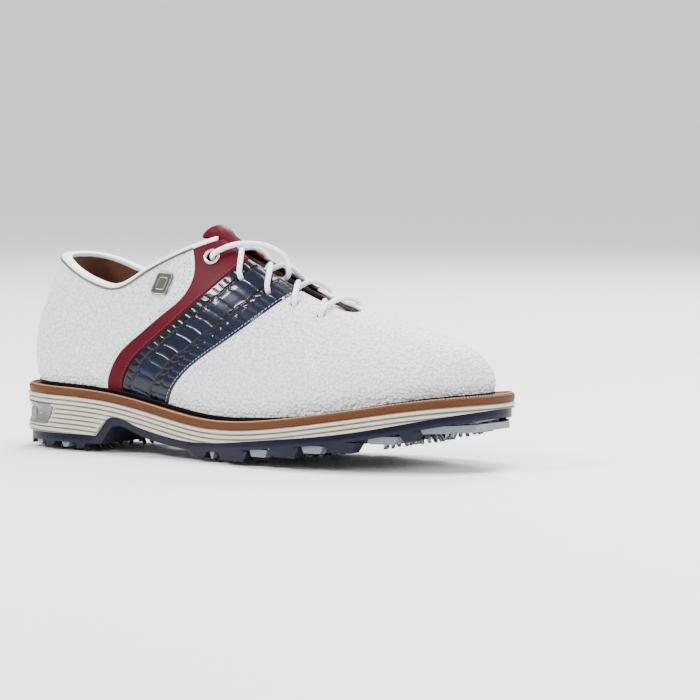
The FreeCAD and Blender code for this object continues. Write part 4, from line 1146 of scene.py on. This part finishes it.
def heel_clip():
    """Scooped clip round the heel, with a plain round emblem and a short bar on its face."""
    grid, normals = clip_face()
    back = normals * CLIP_THICK
    whole = np.concatenate([grid, np.stack([grid[:, -1] - back, grid[:, 0] - back], 1)], 1)
    obj = mesh_object("scooped_heel_clip", whole.reshape(-1, 3), tube_faces(*whole.shape[:2], caps=True),
                      ["grey_clip"])
    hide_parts("heel_clip")

    low, high = (np.array(corner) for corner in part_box("heel_clip_emblem"))
    middle = (low + high) / 2
    i, j = divmod(int(((grid.reshape(-1, 3) - middle) ** 2).sum(1).argmin()), CLIP_ROWS)
    n = normals[i]
    centre = grid[i, j] + n * 0.25 * MM
    turn = np.linspace(0, 2 * math.pi, 61)[:-1]
    c, w = np.cos(turn), np.sin(turn)
    for name, size, tube, power in (("emblem_rim", 0.86, 0.62, 2.0), ("emblem_lozenge", 0.42, 0.5, 1.2)):
        scale = (high[2] - low[2]) / 2 * size / (np.abs(c) ** power + np.abs(w) ** power) ** (1 / power)
        points = centre + np.cross(UP, n) * (c * scale)[:, None] + UP * (w * scale)[:, None]
        obj = ring(name, points, n, tube * MM, "light_clip")
        if name == "emblem_rim":
            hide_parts("heel_clip_emblem")

    bar = grid[:, CLIP_ROWS // 2]
    away = np.linalg.norm(bar - middle, axis=1)
    ahead = (bar[:, 1] < 0) & (away > 8 * MM) & (away < 12.5 * MM) & (bar[:, 0] > middle[0])
    path = resample((bar + normals * 0.2 * MM)[ahead], np.linspace(0, 1, 12))
    ends = [0.3, 0.75] + [1.0] * 8 + [0.75, 0.3]
    swept("clip_bar", path, frames_along(path), [round_section(0.6 * MM * k) for k in ends],
          "light_clip")


# In mm: heights above the welt of the rows of the dark strip, part rand and part painted shadow, how far it
# stands proud, and its thickness.
RAND_ROWS, RAND_PROUD, RAND_THICK = (0.1, 0.9, 1.7, 2.4), 0.45, 0.9


def rand():
    """Dark strip where the upper meets the welt, part dark rand and part painted shadow under the tucked-in
    upper; lower round the toe, where less shadow falls.
    """
    line, out = plan_loop("welt")
    names = ["vamp"] + [part + side for part in ("saddle_", "trim_", "quarter_")
                        for side in ("lateral", "medial")]
    trees = [tree_over(*merged(name)) for name in names]
    taper = np.clip((0.085 - line[:, 0]) / 0.06, 0.3, 1)
    rows = []
    for rise in RAND_ROWS:
        depth = []
        for p, n in zip(line, out):
            hits = [level_hit(tree, p, n, p[2] + max(rise, 0.6) * MM, 2 * MM)[0] for tree in trees]
            depth.append(min((h for h in hits if not np.isnan(h)), default=np.nan))
        depth = relaxed(filled(depth), 6, closed=True)
        row = line - out * (depth - RAND_PROUD * MM)[:, None]
        row[:, 2] = line[:, 2] + rise * MM * taper
        rows.append(row)
    rows += [rows[-1] - out * RAND_THICK * MM, rows[0] - out * RAND_THICK * MM]
    mesh_object("dark_rand_and_shadow", np.concatenate(rows), tube_faces(len(rows), len(line), closed=True),
                ["dark_rand_and_shadow"])


def welt_stitches():
    """Slanted stitches round the welt's upper face."""
    line, out = plan_loop("welt")
    path = line - out * 1.0 * MM
    path[:, 2] = line[:, 2] + 0.25 * MM
    loop = np.concatenate([path, path[:1]])
    beads("welt_stitches", [(loop, np.tile(UP, (len(loop), 1)), 1.9 * MM)],
          (2.3, 1.0, 1.1), "welt_thread", slant=0.5)


def sole():
    """Heel clip, dark rand strip with painted shadow, welt and ribbed midsole with painted shade in their
    grooves, and the looks of the CAD parts that stay.
    """
    heel_clip()
    rand()
    wall_band("rounded_welt_edge", "welt", "notched_welt", 14, welt_ridge)
    wall_band("midsole_ribs", "midsole", "ribbed_midsole", 72, ribs)
    welt_stitches()
    for look, bevel, names in (
            ("welt_leather", 0.3, ["welt"]), ("cream_midsole", 0.3, ["midsole"]),
            ("outsole", 0.5, ["outsole"]), ("black_cleat", 0.2, ["cleat_receptacles"]),
            ("grey_insert", 0.4, ["traction_inserts_heel", "traction_inserts_forefoot"]),
            ("white_leather", 0.2, ["aglets"]), ("steel", 0, ["shank"]),
            ("fibre_board", 0, ["insole_board", "heel_counter", "toe_puff"]),
            ("cream_foam", 0, ["forefoot_filler", "collar_padding_lateral", "collar_padding_medial"])):
        for name in names:
            finish_node(name, look, bevel * MM)


# ---------------------------------------------------------------- cleats
# Centre line of a leg, as distance from the cleat's axis and depth in mm.
LEG_PATH = np.array([(3.2, 2.0), (5.0, 1.9), (6.9, 2.0), (8.3, 2.9), (9.2, 4.1), (9.85, 5.4), (10.15, 6.3)])
LEG_RINGS, LEG_SIDES, LEGS = 13, 12, 8
FOOT_DEPTH = 7.0 * MM
# Radius and depth of the turned body's section, in mm.
CLEAT_BODY = [(0.01, -2.6), (3.3, -2.6), (3.35, 0.25), (6.4, 0.35), (7.1, 0.6), (7.45, 1.15), (7.5, 1.7),
              (7.3, 2.15), (6.9, 2.3), (5.4, 2.35), (5.2, 2.6), (4.9, 2.75), (4.0, 2.7), (3.7, 3.0),
              (3.5, 3.7), (3.2, 3.95), (1.2, 4.0), (1.0, 3.6), (0.01, 3.55)]
CLEAR_CLEATS = ("cleat_front_toe", "cleat_front_medial_2", "cleat_front_lateral_3")


def cleat_leg(turn):
    """Points and faces of one curved leg, in the cleat's frame with depth along z."""
    path = np.stack([LEG_PATH[:, 0], LEG_PATH[:, 0] * 0, LEG_PATH[:, 1]], 1) * MM
    path = resample(path, np.linspace(0, 1, LEG_RINGS))
    angle = 2 * math.pi * (np.arange(LEG_SIDES) + 0.5) / LEG_SIDES
    c, w = (np.sign(v) * np.abs(v) ** 0.6 for v in (np.cos(angle), np.sin(angle)))
    share = np.linspace(0, 1, LEG_RINGS)
    last = share == 1
    wide = (1.45 - 0.35 * share) * MM * np.where(last, 0.82, 1)
    deep = (0.95 - 0.22 * share) * MM * np.where(last, 0.7, 1)
    verts = []
    for p, t, half, thick in zip(path, unit(np.gradient(path, axis=0)), wide, deep):
        verts += [p + np.array([-t[2] * b * thick, a * half, t[0] * b * thick]) for a, b in zip(c, w)]
    c, w = math.cos(turn), math.sin(turn)
    turned = np.array(verts) @ np.array([[c, w, 0], [-w, c, 0], [0, 0, 1]])
    return turned, tube_faces(LEG_RINGS, LEG_SIDES, caps=True)


def turned_body(profile, count=48):
    """Points and faces of a turned solid whose profile starts and ends on the axis."""
    verts, faces, m = [], [], len(profile)
    for i in range(count):
        t, k = 2 * math.pi * i / count, (i + 1) % count
        verts += [(r * math.cos(t), r * math.sin(t), h) for r, h in profile]
        faces += [(i * m + j, i * m + j + 1, k * m + j + 1, k * m + j) for j in range(m - 1)]
    return np.array(verts) * MM, faces


def cleats():
    """Black cleats, and smoke-clear ones by the toe."""
    verts, faces = join([turned_body(CLEAT_BODY)]
                        + [cleat_leg(2 * math.pi * (k + 0.5) / LEGS) for k in range(LEGS)])
    for joint in frame["joints"]:
        name = joint["child"]
        if not name.startswith("cleat_"):
            continue
        at, axis = np.array(joint["pos_m"]), unit(np.array(joint["axis"], float))
        low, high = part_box(name)
        middle = (np.array(low) + np.array(high)) / 2
        down = axis if (middle - at) @ axis > 0 else -axis
        foot = ((merged(name)[0] - at) @ down).max()
        origin = at + down * (foot - FOOT_DEPTH)
        side = unit(np.array([1.0, 0, 0]) - down * down[0])
        turn = np.stack([side, np.cross(down, side), down])
        look = "smoke_cleat" if name in CLEAR_CLEATS else "black_cleat"
        obj = mesh_object("legged_" + name, origin + verts @ turn, faces, [look], name)
        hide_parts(name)


# ---------------------------------------------------------------- stage
# Radius and height of the pale floor in metres; it curves up to a low wall all round.
FLOOR = ((2.6, 0), (3.2, 0.02), (3.7, 0.1), (4.2, 0.3), (4.6, 0.65), (4.9, 1.2), (5.0, 2.2))
FLOOR_SIDES = 96
# Name, place, size and power of each light.
LIGHTS = (("key", (-1.0, -1.5, 1.5), 0.5, 60), ("front", (1.3, -1.3, 0.9), 0.5, 14),
          ("top", (0.1, 0.2, 1.7), 0.7, 50), ("back", (-0.5, 1.7, 1.2), 0.7, 42),
          ("toe", (1.8, 0.6, 0.9), 0.6, 24))
WORLD_COLOR, WORLD_STRENGTH = (0.97, 0.98, 1.0, 1), 1.15
CAMERA_TURN, CAMERA_RISE, CAMERA_AWAY, CAMERA_LENS = math.radians(36), math.radians(4), 2.2, 207.9
# In mm: what the camera turns about, from the middle of the object, and how far off it the camera aims.
TARGET_OFF, TARGET_HIGH, AIM_RIGHT, AIM_DOWN = (2.4, 1.0), 60, 47.5, 1.9


def aimed(name, data, at, target):
    """A light or camera at a place, pointed at another."""
    obj = bpy.data.objects.new(name, data)
    obj.location = at
    obj.rotation_euler = (Vector(target) - Vector(at)).to_track_quat("-Z", "Y").to_euler()
    bpy.context.scene.collection.objects.link(obj)
    return obj


def camera():
    """Camera at the photograph's angle."""
    middle = (cad_bounds[0] + cad_bounds[1]) / 2
    target = Vector((middle.x + TARGET_OFF[0] * MM, middle.y + TARGET_OFF[1] * MM, TARGET_HIGH * MM))
    level = math.cos(CAMERA_RISE)
    back = Vector((math.sin(CAMERA_TURN) * level, -math.cos(CAMERA_TURN) * level, math.sin(CAMERA_RISE)))
    right = Vector((math.cos(CAMERA_TURN), math.sin(CAMERA_TURN), 0))
    data = bpy.data.cameras.new("camera")
    data.lens = CAMERA_LENS
    data.sensor_width = 36
    bpy.context.scene.camera = aimed("camera", data, target + back * CAMERA_AWAY,
                                     target + right * AIM_RIGHT * MM - back.cross(right) * AIM_DOWN * MM)


def stage():
    """Pale floor and soft light."""
    turn = [2 * math.pi * i / FLOOR_SIDES for i in range(FLOOR_SIDES)]
    verts = [(r * math.cos(t), r * math.sin(t), z) for r, z in FLOOR for t in turn]
    mesh = bpy.data.meshes.new("floor")
    mesh.from_pydata(verts, [], [tuple(range(FLOOR_SIDES))] + tube_faces(len(FLOOR), FLOOR_SIDES))
    mesh.materials.append(material("pale_floor", (0.82, 0.82, 0.83), 0.6, grained, scale=2, depth=0.01,
                                   vary=0.004))
    mesh.shade_smooth()
    floor = bpy.data.objects.new("floor", mesh)
    bpy.context.scene.collection.objects.link(floor)

    world = bpy.data.worlds.new("world")
    bpy.context.scene.world = world
    world.use_nodes = True
    light = world.node_tree.nodes["Background"].inputs
    light[0].default_value = WORLD_COLOR
    light[1].default_value = WORLD_STRENGTH
    for name, at, size, power in LIGHTS:
        data = bpy.data.lights.new(name, "AREA")
        data.size = size
        data.energy = power
        aimed(name, data, at, (0, 0, 0.05))


camera()
stage()
ring_holes = {}
for side_word, side_sign in SIDES:
    saddle(side_word, side_sign)
    ring_holes[side_word] = trim(side_word, side_sign)
    quarter(side_word, side_sign)
vamp()
linings()
tongue()
for side_word, ring_hole in ring_holes.items():
    eyelet(side_word, ring_hole)
lace()
badge()
sole()
cleats()
